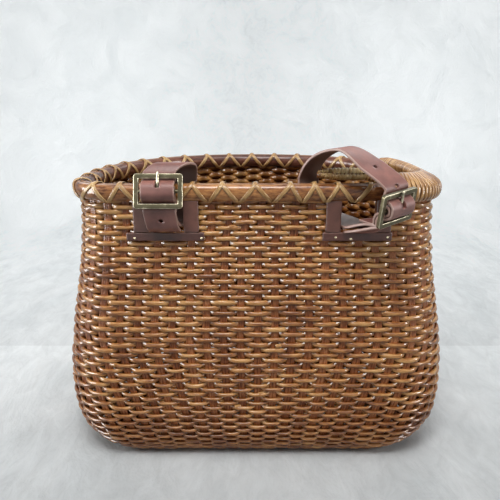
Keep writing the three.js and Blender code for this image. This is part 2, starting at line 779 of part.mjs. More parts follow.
/** Cutter for a round hole through one layer of a ribbon. */
function holePunch(ribbon, at) {
  const { middle, across, normal } = ribbonFrame(ribbon, at);
  const [x, y] = [across.normalize(), normal.normalize()];
  const z = new THREE.Vector3().crossVectors(x, y);
  return new THREE.CylinderGeometry(HOLE_RADIUS, HOLE_RADIUS, STRAP + 2 * CLEARANCE, ROD_SIDES)
    .applyMatrix4(new THREE.Matrix4().makeBasis(x, y, z).setPosition(middle));
}

/** Rectangle with round corners. */
function roundedRectangle(width, height, radius) {
  const shape = new THREE.Shape();
  const [x, y] = [width / 2 - radius, height / 2 - radius];
  shape.absarc(x, y, radius, 0, Math.PI / 2);
  shape.absarc(-x, y, radius, Math.PI / 2, Math.PI);
  shape.absarc(-x, -y, radius, Math.PI, 1.5 * Math.PI);
  shape.absarc(x, -y, radius, 1.5 * Math.PI, 2 * Math.PI);
  return shape;
}

/** Buckle: a flat rectangular frame joined to its round centre bar. */
function buckleGeometry() {
  const frame = roundedRectangle(BUCKLE_WIDTH, BUCKLE_HEIGHT, BUCKLE_CORNER);
  const opening = roundedRectangle(BUCKLE_WIDTH - 2 * BUCKLE_BAR, BUCKLE_HEIGHT - 2 * BUCKLE_BAR, 1);
  frame.holes.push(opening);
  const plate = new THREE.ExtrudeGeometry(frame, {
    depth: BUCKLE_THICKNESS,
    bevelEnabled: false,
    curveSegments: 3,
  }).translate(0, 0, -BUCKLE_THICKNESS / 2);
  const bar = new THREE.CylinderGeometry(CENTRE_BAR_RADIUS, CENTRE_BAR_RADIUS, BUCKLE_WIDTH - BUCKLE_BAR, ROD_SIDES)
    .rotateZ(Math.PI / 2);
  return geometryOf(solidOf(plate).add(solidOf(bar)));
}

/** Prong: bent round the centre bar, its shank flat over the far bar. */
function prongGeometry() {
  const bend = Array.from({ length: 9 }, (_, i) => {
    const angle = THREE.MathUtils.degToRad(340 - i * 31.25);
    return { y: foldRadius * Math.cos(angle), z: foldRadius * Math.sin(angle), ahead: angle - Math.PI / 2 };
  });
  const shankEnd = barReach + BUCKLE_BAR / 2 + PRONG_OVERHANG;
  const shank = [barReach / 2, shankEnd].map((y) => ({ y, z: foldRadius, ahead: 0 }));
  const rings = [...bend, ...shank].map(({ y, z, ahead }) => (
    Array.from({ length: ROD_SIDES }, (_, i) => {
      const angle = 2 * Math.PI * i / ROD_SIDES;
      const rise = PRONG_RADIUS * Math.sin(angle);
      return new THREE.Vector3(PRONG_RADIUS * Math.cos(angle), y - rise * Math.sin(ahead), z + rise * Math.cos(ahead));
    })
  ));
  return loft(rings);
}

/** One strap with its buckle and prong. */
function addStrap(hand, { frame, loop, tip, holes }) {
  addPart(`${hand}_strap`, strapGeometry({ frame, loop, tip, holes }), 'leather');
  addPart(`${hand}_buckle`, buckleGeometry().applyMatrix4(frame), 'brass');
  addPart(`${hand}_prong`, prongGeometry().applyMatrix4(frame), 'brass');
}

/** Strap pulled close to the rim, its buckle square to the front. */
function addLeftStrap() {
  const x = windows[0];
  const wide = [1, 0, 0];
  addStrap('left', {
    frame: buckleFrame([x - 2.5, rimFace - 9, RIM_MID + 2], wide, [0, 0.31, 0.95]),
    loop: [
      [[x - 1.5, FRONT_Y - 6, WINDOW_SILL + 10.5], wide],
      [[x, FRONT_Y + 3, WINDOW_SILL + 6], wide],
      [[x + 2, rimInside + 6, WINDOW_SILL + 4.5], wide],
      [[x + 4, rimInside + 11.5, WINDOW_SILL + 12], wide],
      [[x + 8, rimInside + 11, RIM_MID], wide],
      [[x + 8.5, rimInside + 7, RIM_HEIGHT + 8], wide],
      [[x + 6, rimInside - 3, RIM_HEIGHT + 12], wide],
      [[x + 2, rimFace + 4, RIM_HEIGHT + 12], wide],
    ],
    tip: [
      [[x - 1, FRONT_Y - 10.5, WINDOW_SILL + 8.5], wide],
      [[x - 0.3, FRONT_Y - 4.5, WINDOW_SILL + 4.2], wide],
    ],
    holes: [1],
  });
}

/** Strap buckled loosely, turned towards the side so that its loop stands open over the rim. */
function addRightStrap() {
  const x = windows[1];
  addStrap('right', {
    frame: buckleFrame([x + 22, rimFace - 18, RIM_MID - 8], [0.81, 0.58, 0.08], [0.05, -0.21, 0.976]),
    loop: [
      [[x + 12.5, FRONT_Y - 11, WINDOW_SILL + 7.6], [0.87, 0.48, 0.06]],
      [[x + 1, FRONT_Y - 5, WINDOW_SILL + 7], [1, 0.05, 0]],
      [[x, FRONT_Y + 2, WINDOW_SILL + 7], [1, 0, 0]],
      [[x - 5, rimInside + 8, WINDOW_SILL + 7], [0.8, 0.6, 0.1]],
      [[x - 18, rimInside + 14, WINDOW_SILL + 14], [0.44, 0.79, 0.44]],
      [[x - 33, rimInside + 13, RIM_MID - 6], [0.55, 0.72, 0.43]],
      [[x - 36, rimInside + 13, RIM_HEIGHT], [0.75, 0.66, -0.05]],
      [[x - 27, rimInside + 8, RIM_HEIGHT + 13], [0.58, 0.77, -0.12]],
      [[x - 1, rimInside - 10, RIM_HEIGHT + 22.5], [0.54, 0.84, 0]],
      [[x + 14.5, rimFace - 7, RIM_HEIGHT + 13], [0.77, 0.62, 0.12]],
    ],
    tip: [
      [[x + 14.5, FRONT_Y - 14, WINDOW_SILL + 5.2], [0.87, 0.48, 0.06]],
      [[x + 6, FRONT_Y - 9, WINDOW_SILL + 3.4], [0.97, 0.24, 0.03]],
      [[x + 0.5, FRONT_Y - 5, WINDOW_SILL + 3.6], [1, 0.02, 0]],
    ],
    holes: [-1, -2],
  });
}

addBody();
addEdgings();
addRim();
addWindings();
addLeftStrap();
addRightStrap();

export default basket;
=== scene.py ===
"""Looks of the woven bicycle basket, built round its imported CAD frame. Sizes are in millimetres."""
from __future__ import annotations

import logging
import math
from dataclasses import dataclass, field
from enum import Enum
from typing import Callable, Sequence

import bmesh
import bpy
import numpy as np
from mathutils import Matrix, Vector


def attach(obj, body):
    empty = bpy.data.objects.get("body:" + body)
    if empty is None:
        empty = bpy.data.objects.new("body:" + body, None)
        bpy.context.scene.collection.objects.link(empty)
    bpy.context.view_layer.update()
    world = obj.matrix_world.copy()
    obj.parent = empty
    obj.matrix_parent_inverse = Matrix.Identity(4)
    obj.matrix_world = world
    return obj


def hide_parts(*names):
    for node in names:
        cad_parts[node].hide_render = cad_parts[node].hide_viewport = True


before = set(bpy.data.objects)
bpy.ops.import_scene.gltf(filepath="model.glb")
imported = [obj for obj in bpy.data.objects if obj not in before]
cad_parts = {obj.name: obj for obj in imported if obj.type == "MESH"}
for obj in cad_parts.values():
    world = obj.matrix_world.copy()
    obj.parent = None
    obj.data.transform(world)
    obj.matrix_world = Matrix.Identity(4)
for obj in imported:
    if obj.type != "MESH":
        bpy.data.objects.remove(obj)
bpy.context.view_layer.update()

MM = 0.001
BASKET = "basket"
log = logging.getLogger("basket")
Rgb = tuple[float, float, float]
Point = tuple[float, float, float]
Span = tuple[float, float]
Socket = bpy.types.NodeSocket


class Slot(Enum):
    """Material slots of the part's record."""

    WEAVE = "weave"
    CANE = "cane"
    STRIP = "strip"
    EDGING = "edging"
    LEATHER = "leather"
    BRASS = "brass"


class Hand(Enum):
    """Side of a strap, seen from the strap side."""

    LEFT = "left"
    RIGHT = "right"


# Measures


def unit(vectors: np.ndarray) -> np.ndarray:
    """Vectors made one long."""
    return vectors / np.maximum(np.linalg.norm(vectors, axis=-1, keepdims=True), 1e-12)


def around(count: int) -> np.ndarray:
    """Angles of a full turn in equal steps."""
    return np.linspace(0.0, 2 * math.pi, count, endpoint=False)


def disc(out: float, up: float, radius: float, sides: int) -> np.ndarray:
    """Section points of a round rod."""
    return np.stack([out + radius * np.cos(around(sides)), up + radius * np.sin(around(sides))], -1)


def soft_corner(half_wide: float, half_high: float, soft: float, steps: int) -> np.ndarray:
    """Rounded corner of a section, from its side to its top."""
    bend = np.linspace(0.0, math.pi / 2, steps)
    return np.stack([half_wide - soft + soft * np.cos(bend), half_high - soft + soft * np.sin(bend)], -1)


def travelled(path: np.ndarray) -> np.ndarray:
    """Distance from the start of a path at each of its points."""
    return np.concatenate([[0.0], np.cumsum(np.linalg.norm(np.diff(path, axis=0), axis=1))])


def within(value: np.ndarray | float, low: float, high: float) -> np.ndarray:
    """How far a value is on the way from low to high, from 0 to 1."""
    return np.clip((value - low) / (high - low), 0.0, 1.0)


def eased(share: np.ndarray) -> np.ndarray:
    """Share from 0 to 1 with a soft start and end."""
    return share * share * (3 - 2 * share)


# Finishes


class Shader:
    """Node tree of a material or the world, with its main shader and short ways to add nodes."""

    def __init__(self, owner: bpy.types.Material | bpy.types.World, main: str) -> None:
        """Takes up the tree of a new material or world.

        Args:
            owner: The material or world.
            main: Name of the shader that it starts with.
        """
        owner.use_nodes = True
        self.tree = owner.node_tree
        self.main = self.tree.nodes[main]

    def add(self, kind: str, links: dict | None = None, **settings: object) -> bpy.types.Node:
        """Adds a node.

        Args:
            kind: Node type without its common prefix.
            links: Input sockets by name or number, with a socket or a constant for each.
            **settings: Properties of the node.

        Returns:
            The new node.
        """
        node = self.tree.nodes.new("ShaderNode" + kind)
        for key, value in settings.items():
            setattr(node, key, value)
        for key, value in (links or {}).items():
            self.feed(node.inputs[key], value)
        return node

    def feed(self, socket: Socket, value: object) -> None:
        """Links a socket to another, or sets its constant."""
        if isinstance(value, Socket):
            self.tree.links.new(value, socket)
        else:
            socket.default_value = value

    def set(self, **values: object) -> None:
        """Sets or links sockets of the main shader, with underscores for spaces."""
        for key, value in values.items():
            self.feed(self.main.inputs[key.replace("_", " ")], value)

    def mark(self, name: str) -> Socket:
        """Value painted on the mesh under a name."""
        return self.add("Attribute", attribute_name=name).outputs["Fac"]

    def stretched(self, where: Socket, scale: Point) -> Socket:
        """Coordinates multiplied axis by axis."""
        return self.add("Mapping", {"Vector": where, "Scale": scale}).outputs["Vector"]

    def surface(self) -> Socket:
        """Coordinates along and across the piece."""
        return self.add("TexCoord").outputs["UV"]

    def body(self) -> Socket:
        """Coordinates that stay with the piece."""
        return self.add("TexCoord").outputs["Object"]

    def noise(self, where: Socket, scale: float, detail: float, rough: float, warp: float = 0.0) -> Socket:
        """Noise value at a place."""
        links = {"Vector": where, "Scale": scale, "Detail": detail, "Roughness": rough, "Distortion": warp}
        return self.add("TexNoise", links).outputs["Fac"]

    def ramp(self, value: Socket, stops: Sequence[tuple[float, Rgb]]) -> Socket:
        """Colour ramp over a value from 0 to 1, given the place and colour of each stop."""
        node = self.add("ValToRGB", {"Fac": value})
        band = node.color_ramp
        for i, (place, colour) in enumerate(stops):
            stop = band.elements[i] if i < len(band.elements) else band.elements.new(place)
            stop.position = place
            stop.color = (*colour, 1.0)
        return node.outputs["Color"]

    def span(self, value: Socket, low: float, high: float, to_low: float = 0.0, to_high: float = 1.0) -> Socket:
        """Value moved from one range to another and held inside it."""
        links = {"Value": value, "From Min": low, "From Max": high, "To Min": to_low, "To Max": to_high}
        return self.add("MapRange", links).outputs["Result"]

    def math(self, operation: str, a: object, b: object = 0.0) -> Socket:
        """Result of an operation on two values."""
        return self.add("Math", {0: a, 1: b}, operation=operation).outputs[0]

    def plus(self, a: object, b: object) -> Socket:
        """Sum of two values."""
        return self.math("ADD", a, b)

    def times(self, a: object, b: object) -> Socket:
        """Product of two values."""
        return self.math("MULTIPLY", a, b)

    def mix(self, share: object, a: object, b: object, blend: str = "MIX") -> Socket:
        """Colour between two colours."""
        node = self.add("Mix", data_type="RGBA", blend_type=blend)
        for index, value in ((0, share), (6, a), (7, b)):
            self.feed(node.inputs[index], (*value, 1.0) if isinstance(value, tuple) else value)
        return node.outputs[2]

    def bump(self, height: Socket, depth: float, strength: float) -> None:
        """Gives the main shader a relief.

        Args:
            height: Relief height from 0 to 1.
            depth: Depth of the whole relief.
            strength: Share of it that shows.
        """
        links = {"Height": height, "Strength": strength, "Distance": depth * MM}
        self.feed(self.main.inputs["Normal"], self.add("Bump", links).outputs["Normal"])

    def seen(self) -> Socket:
        """One for rays by which the camera sees a place: straight, mirrored or let through."""
        rays = self.add("LightPath").outputs
        return self.plus(self.plus(rays["Is Camera Ray"], rays["Is Glossy Ray"]), rays["Is Transmission Ray"])


@dataclass(frozen=True)
class Finish:
    """Look of one kind of piece, with the names of the values painted on it."""

    name: str
    slot: Slot
    marks = ()

    def material(self) -> bpy.types.Material:
        """Material of the finish, made on first use."""
        made = bpy.data.materials.get(self.name)
        if made is None:
            made = bpy.data.materials.new(self.name)
            self.shade(Shader(made, "Principled BSDF"))
        return made

    def shade(self, shader: Shader) -> None:
        """Builds the nodes of the finish."""
        raise NotImplementedError


@dataclass(frozen=True)
class Reed(Finish):
    """Varnished rattan: long fibres, a tone for each length, and painted shade in the dips between pieces, on
    undersides and at edges.
    """

    pale: Rgb = (0.62, 0.33, 0.108)
    tan: Rgb = (0.42, 0.165, 0.038)
    brown: Rgb = (0.18, 0.052, 0.009)
    # Colour of the painted shade, mixed in where the weave is marked as lying in shade.
    painted_dark: Rgb = (0.05, 0.013, 0.003)
    fibre: float = 520.0
    fibre_along: float = 110.0
    relief: float = 0.3
    relief_shown: float = 0.7
    patch: float = 24.0
    patchy: float = 0.16
    knot: float = 330.0
    knotted: float = 1.6
    toned: float = 0.55
    gloss: float = 0.34
    sheen: float = 0.2
    varnish: float = 0.75
    varnish_haze: float = 0.09
    marks = ("tone", "dip")

    def shade(self, shader: Shader) -> None:
        """Builds the nodes of the finish."""
        grain = shader.stretched(shader.surface(), (self.fibre_along, self.fibre, 1.0))
        fibres = shader.noise(grain, 1.0, 4.0, 0.65)
        patches = shader.noise(shader.body(), self.patch, 3.0, 0.6)
        shade = shader.plus(shader.times(shader.mark("tone"), self.toned), shader.span(fibres, 0.33, 0.67, -0.15, 0.6))
        shade = shader.plus(shade, shader.span(patches, 0.3, 0.7, -self.patchy, self.patchy))
        colour = shader.ramp(shade, [(0.14, self.brown), (0.5, self.tan), (0.86, self.pale)])
        # Painted shade: where the painted mark is high, the colour goes to the dark shade colour and sheen and varnish
        # fade.
        dip = shader.span(shader.mark("dip"), 0.3, 1.0)
        shine = shader.math("SUBTRACT", 1.0, dip)
        shader.set(Base_Color=shader.mix(dip, colour, self.painted_dark),
                   Roughness=shader.span(fibres, 0.2, 0.8, self.gloss - 0.06, self.gloss + 0.16),
                   Specular_IOR_Level=shader.times(shine, self.sheen),
                   Coat_Weight=shader.times(shine, self.varnish), Coat_Roughness=self.varnish_haze)
        knots = shader.noise(shader.body(), self.knot, 2.0, 0.5)
        shader.bump(shader.plus(fibres, shader.times(knots, self.knotted)), self.relief, self.relief_shown)


@dataclass(frozen=True)
class Hide(Finish):
    """Strap leather: fine grain, scuffs, cut edges of another colour, a duller flesh side darkened further as painted
    shade.
    """

    grain: Rgb = (0.285, 0.113, 0.086)
    dark: Rgb = (0.145, 0.053, 0.042)
    edge: Rgb = (0.42, 0.255, 0.205)
    flesh: Rgb = (0.15, 0.085, 0.065)
    mottle: float = 70.0
    crease: float = 330.0
    pore: float = 1500.0
    pored: float = 0.6
    wax: float = 0.12
    wax_haze: float = 0.35
    marks = ("edge", "flesh")

    def shade(self, shader: Shader) -> None:
        """Builds the nodes of the finish."""
        where = shader.body()
        mottle = shader.noise(where, self.mottle, 4.0, 0.6)
        pores = shader.add("TexVoronoi", {"Vector": where, "Scale": self.pore}).outputs["Distance"]
        creases = shader.noise(where, self.crease, 3.0, 0.6)
        colour = shader.ramp(mottle, [(0.3, self.dark), (0.72, self.grain)])
        # The flesh side's dark colour is partly painted shade.
        colour = shader.mix(shader.mark("flesh"), colour, self.flesh)
        colour = shader.mix(shader.span(shader.mark("edge"), 0.35, 1.0), colour, self.edge)
        shader.set(Base_Color=colour, Roughness=shader.span(mottle, 0.3, 0.7, 0.42, 0.58), Coat_Weight=self.wax,
                   Coat_Roughness=self.wax_haze)
        shader.bump(shader.plus(shader.times(pores, self.pored), creases), 0.12, 0.6)


@dataclass(frozen=True)
class OldBrass(Finish):
    """Darkened brass, rubbed bright along its edges."""

    patina: Rgb = (0.11, 0.095, 0.056)
    bright: Rgb = (0.60, 0.55, 0.40)
    cloud: float = 260.0
    speck: float = 1400.0
    metal: float = 0.92
    marks = ("edge",)

    def shade(self, shader: Shader) -> None:
        """Builds the nodes of the finish."""
        where = shader.body()
        clouds = shader.noise(where, self.cloud, 4.0, 0.65)
        specks = shader.noise(where, self.speck, 2.0, 0.5)
        rub = shader.plus(shader.mark("edge"), shader.span(clouds, 0.35, 0.75, -0.4, 0.35))
        colour = shader.mix(shader.span(rub, 0.2, 0.9), self.patina, self.bright)
        shader.set(Base_Color=colour, Metallic=self.metal, Roughness=shader.span(clouds, 0.3, 0.7, 0.28, 0.5))
        shader.bump(specks, 0.05, 0.5)


WEAVER = Reed("weaver_reed", Slot.WEAVE)
STAKE = Reed("stake_reed", Slot.WEAVE, pale=(0.56, 0.225, 0.085), tan=(0.36, 0.112, 0.03),
             brown=(0.17, 0.042, 0.008), fibre=700.0, relief=0.5, gloss=0.4, varnish=0.3)
CANE = Reed("rim_cane", Slot.CANE, pale=(0.52, 0.235, 0.072), tan=(0.34, 0.13, 0.035),
            brown=(0.13, 0.04, 0.011), fibre=420.0, relief=0.08, gloss=0.26, varnish=0.65)
INNER_CANE = Reed("inner_rim_cane", Slot.CANE, pale=(0.22, 0.085, 0.05), tan=(0.135, 0.046, 0.027),
                  brown=(0.065, 0.02, 0.012), fibre=420.0, relief=0.08, gloss=0.3, varnish=0.4)
TOP_REED = Reed("top_rim_reed", Slot.CANE, pale=(0.40, 0.20, 0.075), tan=(0.27, 0.118, 0.04),
                brown=(0.13, 0.045, 0.013), fibre=900.0, relief=0.08, gloss=0.28, varnish=0.5)
STRIP = Reed("split_cane", Slot.STRIP, pale=(0.66, 0.44, 0.20), tan=(0.46, 0.265, 0.10),
             brown=(0.25, 0.11, 0.034), fibre=1600.0, relief=0.1, gloss=0.3, varnish=0.45)
WRAP = Reed("bound_cane", Slot.STRIP, pale=(0.66, 0.40, 0.16), tan=(0.40, 0.195, 0.066),
            brown=(0.15, 0.055, 0.016), fibre=1600.0, relief=0.1, gloss=0.3, varnish=0.8)
# A lighter, yellower copy of the bound cane with a lighter shade colour: partly its own colour, partly painted light
# for a binding in the shade of strap and rim.
LIT_TAIL_WRAP = Reed("lit_tail_cane", Slot.STRIP, pale=(0.88, 0.69, 0.36), tan=(0.74, 0.51, 0.21),
                 brown=(0.44, 0.24, 0.085), painted_dark=(0.16, 0.07, 0.02), fibre=1600.0, relief=0.1, gloss=0.36,
                 varnish=0.4)
STRAP_HIDE = Hide("strap_leather", Slot.LEATHER)
TRIM_HIDE = Hide("trim_leather", Slot.EDGING, grain=(0.205, 0.082, 0.057), dark=(0.098, 0.038, 0.027),
                 edge=(0.15, 0.075, 0.055), flesh=(0.10, 0.05, 0.04))
SILL_HIDE = Hide("sill_leather", Slot.EDGING, grain=(0.135, 0.040, 0.024), dark=(0.05, 0.016, 0.011),
                 edge=(0.17, 0.07, 0.045), flesh=(0.10, 0.05, 0.04))
BRASS = OldBrass("old_brass", Slot.BRASS)
NAIL = OldBrass("nail_brass", Slot.EDGING, patina=(0.20, 0.16, 0.09), bright=(0.75, 0.66, 0.45))


# Meshes


class Skin:
    """Mesh under construction: swept skins of one finish, with surface coordinates and painted values."""

    def __init__(self, finish: Finish) -> None:
        """Starts an empty mesh."""
        self.finish = finish
        self.points: list[np.ndarray] = []
        self.faces: list[np.ndarray] = []
        self.coords: list[np.ndarray] = []
        self.marks: dict[str, list[np.ndarray]] = {name: [] for name in finish.marks}
        self.count = 0

    def sweep(self, rings: np.ndarray, closed: bool = False, **marks: np.ndarray | float) -> None:
        """Adds a skin through rings of equal length, with its open ends closed.

        Args:
            rings: Places of shape (rings, points, 3).
            closed: Whether the last ring meets the first.
            **marks: Painted values, for all points, for each ring or for each point.
        """
        n, m, _ = rings.shape
        spans = n if closed else n - 1
        i, j = np.arange(spans)[:, None], np.arange(m)[None, :]
        first = self.count
        here, after = first + i * m, first + (i + 1) % n * m
        quads = np.stack([here + j, here + (j + 1) % m, after + (j + 1) % m, after + j], -1)
        u = travelled((np.concatenate([rings, rings[:1]]) if closed else rings).mean(1)) * MM
        v = travelled(np.concatenate([rings[0], rings[0][:1]])) * MM
        corners = [(u[:-1], v[:-1]), (u[:-1], v[1:]), (u[1:], v[1:]), (u[1:], v[:-1])]
        coords = np.stack([np.stack(np.meshgrid(a, b, indexing="ij"), -1) for a, b in corners], 2)
        self.faces.append(quads.reshape(-1, 4))
        self.coords.append(coords.reshape(-1, 4, 2))
        self.points.append(rings.reshape(-1, 3))
        painted = {}
        for name, store in self.marks.items():
            value = np.asarray(marks.get(name, 0.0), float)
            painted[name] = np.broadcast_to(value[:, None] if value.ndim == 1 else value, (n, m))
            store.append(painted[name].reshape(-1))
        self.count += n * m
        if not closed:
            for end in (0, n - 1):
                self._cap(rings[end], first + end * m, {name: p[end].mean() for name, p in painted.items()}, end == 0)

    def _cap(self, ring: np.ndarray, first: int, painted: dict[str, float], reverse: bool) -> None:
        """Closes one end with a fan round its middle."""
        m = len(ring)
        self.points.append(ring.mean(0)[None])
        for name, value in painted.items():
            self.marks[name].append(np.array([value]))
        j, after = np.arange(m), (np.arange(m) + 1) % m
        fan = np.stack([first + j, first + after, np.full(m, self.count)], -1)
        self.faces.append(fan[:, ::-1] if reverse else fan)
        flat = (ring - ring.mean(0))[:, :2] * MM
        self.coords.append(np.stack([flat, flat[after], np.zeros((m, 2))], 1))
        self.count += 1

    def piece(self, name: str, *nodes: str, body: str = BASKET) -> bpy.types.Object:
        """Makes the object, rides it on its body and gives it its finish.

        Args:
            name: Name of the piece.
            *nodes: CAD nodes that it stands for.
            body: CAD body that carries it.

        Returns:
            The finished piece.
        """
        mesh = bpy.data.meshes.new(name)
        points = np.concatenate(self.points) * MM
        sizes = np.concatenate([np.full(len(f), f.shape[1]) for f in self.faces])
        corners = np.concatenate([f.reshape(-1) for f in self.faces])
        mesh.vertices.add(len(points))
        mesh.vertices.foreach_set("co", points.reshape(-1))
        mesh.loops.add(len(corners))
        mesh.loops.foreach_set("vertex_index", corners)
        mesh.polygons.add(len(sizes))
        mesh.polygons.foreach_set("loop_start", np.concatenate([[0], np.cumsum(sizes)[:-1]]))
        mesh.polygons.foreach_set("use_smooth", np.ones(len(sizes), bool))
        coords = np.concatenate([c.reshape(-1) for c in self.coords])
        mesh.uv_layers.new(name="UVMap").data.foreach_set("uv", coords)
        for mark, store in self.marks.items():
            mesh.attributes.new(mark, "FLOAT", "POINT").data.foreach_set("value", np.concatenate(store))
        mesh.update(calc_edges=True)
        mesh.validate()
        turn_outward(mesh)
        piece = bpy.data.objects.new(name, mesh)
        bpy.context.collection.objects.link(piece)
        mesh.materials.append(self.finish.material())
        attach(piece, body)
        if nodes:
            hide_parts(*nodes)
        log.info("%s: %d faces on %s", name, len(mesh.polygons), body)
        return piece


def turn_outward(mesh: bpy.types.Mesh) -> None:
    """Points all faces of a closed mesh outward."""
    work = bmesh.new()
    work.from_mesh(mesh)
    bmesh.ops.recalc_face_normals(work, faces=work.faces)
    work.to_mesh(mesh)
    work.free()


def headings(path: np.ndarray, closed: bool = False) -> np.ndarray:
    """Directions along a path of points."""
    if closed:
        return unit(np.roll(path, -1, 0) - np.roll(path, 1, 0))
    return unit(np.gradient(path, axis=0))


def extrude(path: np.ndarray, side: np.ndarray, rise: np.ndarray, section: np.ndarray) -> np.ndarray:
    """Rings of one section along a path.

    Args:
        path: Middle of each ring.
        side: Direction of the section's first axis at each ring.
        rise: Direction of its second axis at each ring.
        section: Points of the section.

    Returns:
        Places of shape (rings, points, 3).
    """
    return path[:, None] + side[:, None] * section[None, :, :1] + rise[:, None] * section[None, :, 1:]


def tube(path: np.ndarray, up: np.ndarray, half_up: np.ndarray | float, half_out: np.ndarray | float, sides: int,
         closed: bool = False) -> np.ndarray:
    """Rings of an oval rod along a path.

    Args:
        path: Middle of each ring.
        up: Direction of the section's first axis, at each ring or all along.
        half_up: Half of the section along that axis.
        half_out: Half of the section across it.
        sides: Points in a ring.
        closed: Whether the path is a loop.

    Returns:
        Places of shape (rings, points, 3).
    """
    ahead = headings(path, closed)
    out = unit(np.cross(up, ahead))
    rise = np.cross(ahead, out)
    turn = around(sides)
    high, wide = np.broadcast_to(half_up, len(path)), np.broadcast_to(half_out, len(path))
    return (path[:, None] + out[:, None] * (wide[:, None] * np.cos(turn))[..., None]
            + rise[:, None] * (high[:, None] * np.sin(turn))[..., None])


# Body


@dataclass(frozen=True)
class Outline:
    """Closed plan outline at one height, by the way along it from the middle of the front."""

    points: np.ndarray
    normals: np.ndarray
    ways: np.ndarray

    @property
    def length(self) -> float:
        """Length all round."""
        return float(self.ways[-1])

    def at(self, ways: np.ndarray) -> tuple[np.ndarray, np.ndarray]:
        """Places and outward normals in plan at ways along the outline."""
        on = np.mod(ways, self.length)
        points, normals = (np.stack([np.interp(on, self.ways, values[:, k]) for k in (0, 1)], -1)
                           for values in (self.points, self.normals))
        return points, unit(normals)


@dataclass(frozen=True)
class BodyShape:
    """Outer shape of the woven body: plan at the neck, swell of the belly and tuck of the foot."""

    rim_height: float = 248.0
    neck_half_width: float = 142.0
    neck_front: float = 58.0
    neck_back: float = 132.0
    neck_corner: float = 32.0
    squareness: float = 2.2
    neck_height: float = 232.1
    belly_height: float = 64.0
    side_swell: float = 24.3
    front_swell: float = 5.0
    back_swell: float = 18.0
    corner_swell: float = 14.0
    side_tuck: float = 52.0
    front_tuck: float = 27.0
    back_tuck: float = 50.0
    corner_tuck: float = 14.0
    foot_roundness: float = 2.5
    foot_lay: float = 1.6
    wall: float = 5.0
    windows: tuple[float, float] = (-69.0, 77.0)
    window_width: float = 26.5
    window_sill: float = 209.5

    @property
    def shift(self) -> float:
        """Y of the plan's own middle in the part's frame."""
        _, front, back, _ = self.section(0.0)
        return (front - back) / 2

    @property
    def front_y(self) -> float:
        """Y of the outer front face at the neck."""
        return self.shift - self.neck_front

    def below_belly(self, height: float) -> float:
        """How far down a height is, from 0 at the belly to 1 on the floor."""
        return max(0.0, 1.0 - height / self.belly_height)

    def tuck(self, height: float) -> float:
        """How far the foot is drawn in at a height, from 0 at the belly to 1 on the floor."""
        return 1.0 - (1.0 - self.below_belly(height) ** self.foot_roundness) ** (1.0 / self.foot_roundness)

    def lay(self, height: float) -> float:
        """How far the wall lies over at a height: 0 upright, 1 flat on the floor."""
        return self.below_belly(height) ** self.foot_lay

    def swell(self, height: float) -> float:
        """How far the wall has swelled at a height, from 0 at the neck to 1 at the belly."""
        return (1.0 + math.cos(math.pi * within(height, self.belly_height, self.neck_height))) / 2

    def section(self, height: float) -> tuple[float, float, float, float]:
        """Half width, front depth, back depth and corner radius at a height."""
        swell, tuck = self.swell(height), self.tuck(height)
        return (self.neck_half_width + self.side_swell * swell - self.side_tuck * tuck,
                self.neck_front + self.front_swell * swell - self.front_tuck * tuck,
                self.neck_back + self.back_swell * swell - self.back_tuck * tuck,
                self.neck_corner + self.corner_swell * swell - self.corner_tuck * tuck)

    def outline(self, height: float, inset: float) -> Outline:
        """Plan outline at a height.

        Args:
            height: Height of the outer face.
            inset: Distance in from it.

        Returns:
            The outline, from the middle of the front by the right.
        """
        side, front, back, corner = self.section(height)
        bend = np.linspace(0.0, math.pi / 2, 24, endpoint=False)
        half = np.linspace(0.0, side - corner, 40, endpoint=False)
        flank = np.linspace(corner - front, 0.0, 8, endpoint=False)
        flank_back = -np.linspace(0.0, front - corner, 8, endpoint=False)
        bow = np.linspace(0.0, math.pi, 160, endpoint=False)
        power = 2.0 / self.squareness
        c, s = np.cos(bow), np.sin(bow)
        bow_normal = unit(np.stack([np.sign(c) * np.abs(c) ** (2 - power) / side, np.abs(s) ** (2 - power) / back], -1))
        one, none = np.ones_like, np.zeros_like
        parts = [
            (half, -front * one(half), none(half), -one(half)),
            (side - corner + corner * np.sin(bend), -front + corner * (1 - np.cos(bend)), np.sin(bend), -np.cos(bend)),
            (side * one(flank), flank, one(flank), none(flank)),
            (side * np.sign(c) * np.abs(c) ** power, back * np.abs(s) ** power, *bow_normal.T),
            (-side * one(flank), flank_back, -one(flank), none(flank)),
            (corner - side - corner * np.cos(bend), corner - front - corner * np.sin(bend), -np.cos(bend),
             -np.sin(bend)),
            (half - (side - corner), -front * one(half), none(half), -one(half)),
        ]
        x, y, nx, ny = (np.concatenate([part[k] for part in parts]) for k in range(4))
        normals = np.stack([nx, ny], -1)
        points = np.stack([x, y + self.shift], -1) - normals * inset
        points, normals = np.concatenate([points, points[:1]]), np.concatenate([normals, normals[:1]])
        return Outline(points, normals, travelled(points))


@dataclass(frozen=True)
class Unevenness:
    """Typical size of the small changes in the weave."""

    way: float = 0.55
    swing: float = 0.1
    lift: float = 0.22
    tone: float = 0.2
    row_tone: float = 0.09
    girth: float = 0.1
    stake_width: float = 0.05
    stake_tone: float = 0.16


@dataclass(frozen=True)
class BaseSize:
    """Sizes of the woven base."""

    inset: float = 0.8
    stake_pitch: float = 13.0
    row_pitch: float = 4.4
    first_row: float = 2.2
    last_row: float = 1.5
    level: float = 3.0
    swing: float = 1.25
    squeeze: float = 1.7
    stake_half_height: float = 0.6
    reed_half_width: float = 1.85
    reed_half_height: float = 1.2
    row_spread: float = 0.1
    row_dip: float = 0.25
    stake_tones: Span = (0.3, 0.7)
    row_tones: Span = (0.35, 0.65)


@dataclass(frozen=True)
class CutEnds:
    """Cut ends of reed: how many, in which rows, and how they stand out past a stake."""

    count: int = 26
    rows_above: int = 6
    rows_below: int = 8
    past_stake: float = 0.6
    reach: Span = (-2.0, 3.0)
    out: Span = (0.4, 2.6)
    steps: int = 6
    sizes: Span = (0.8, 0.95)
    tones: Span = (0.55, 0.95)
    lift: float = 0.5


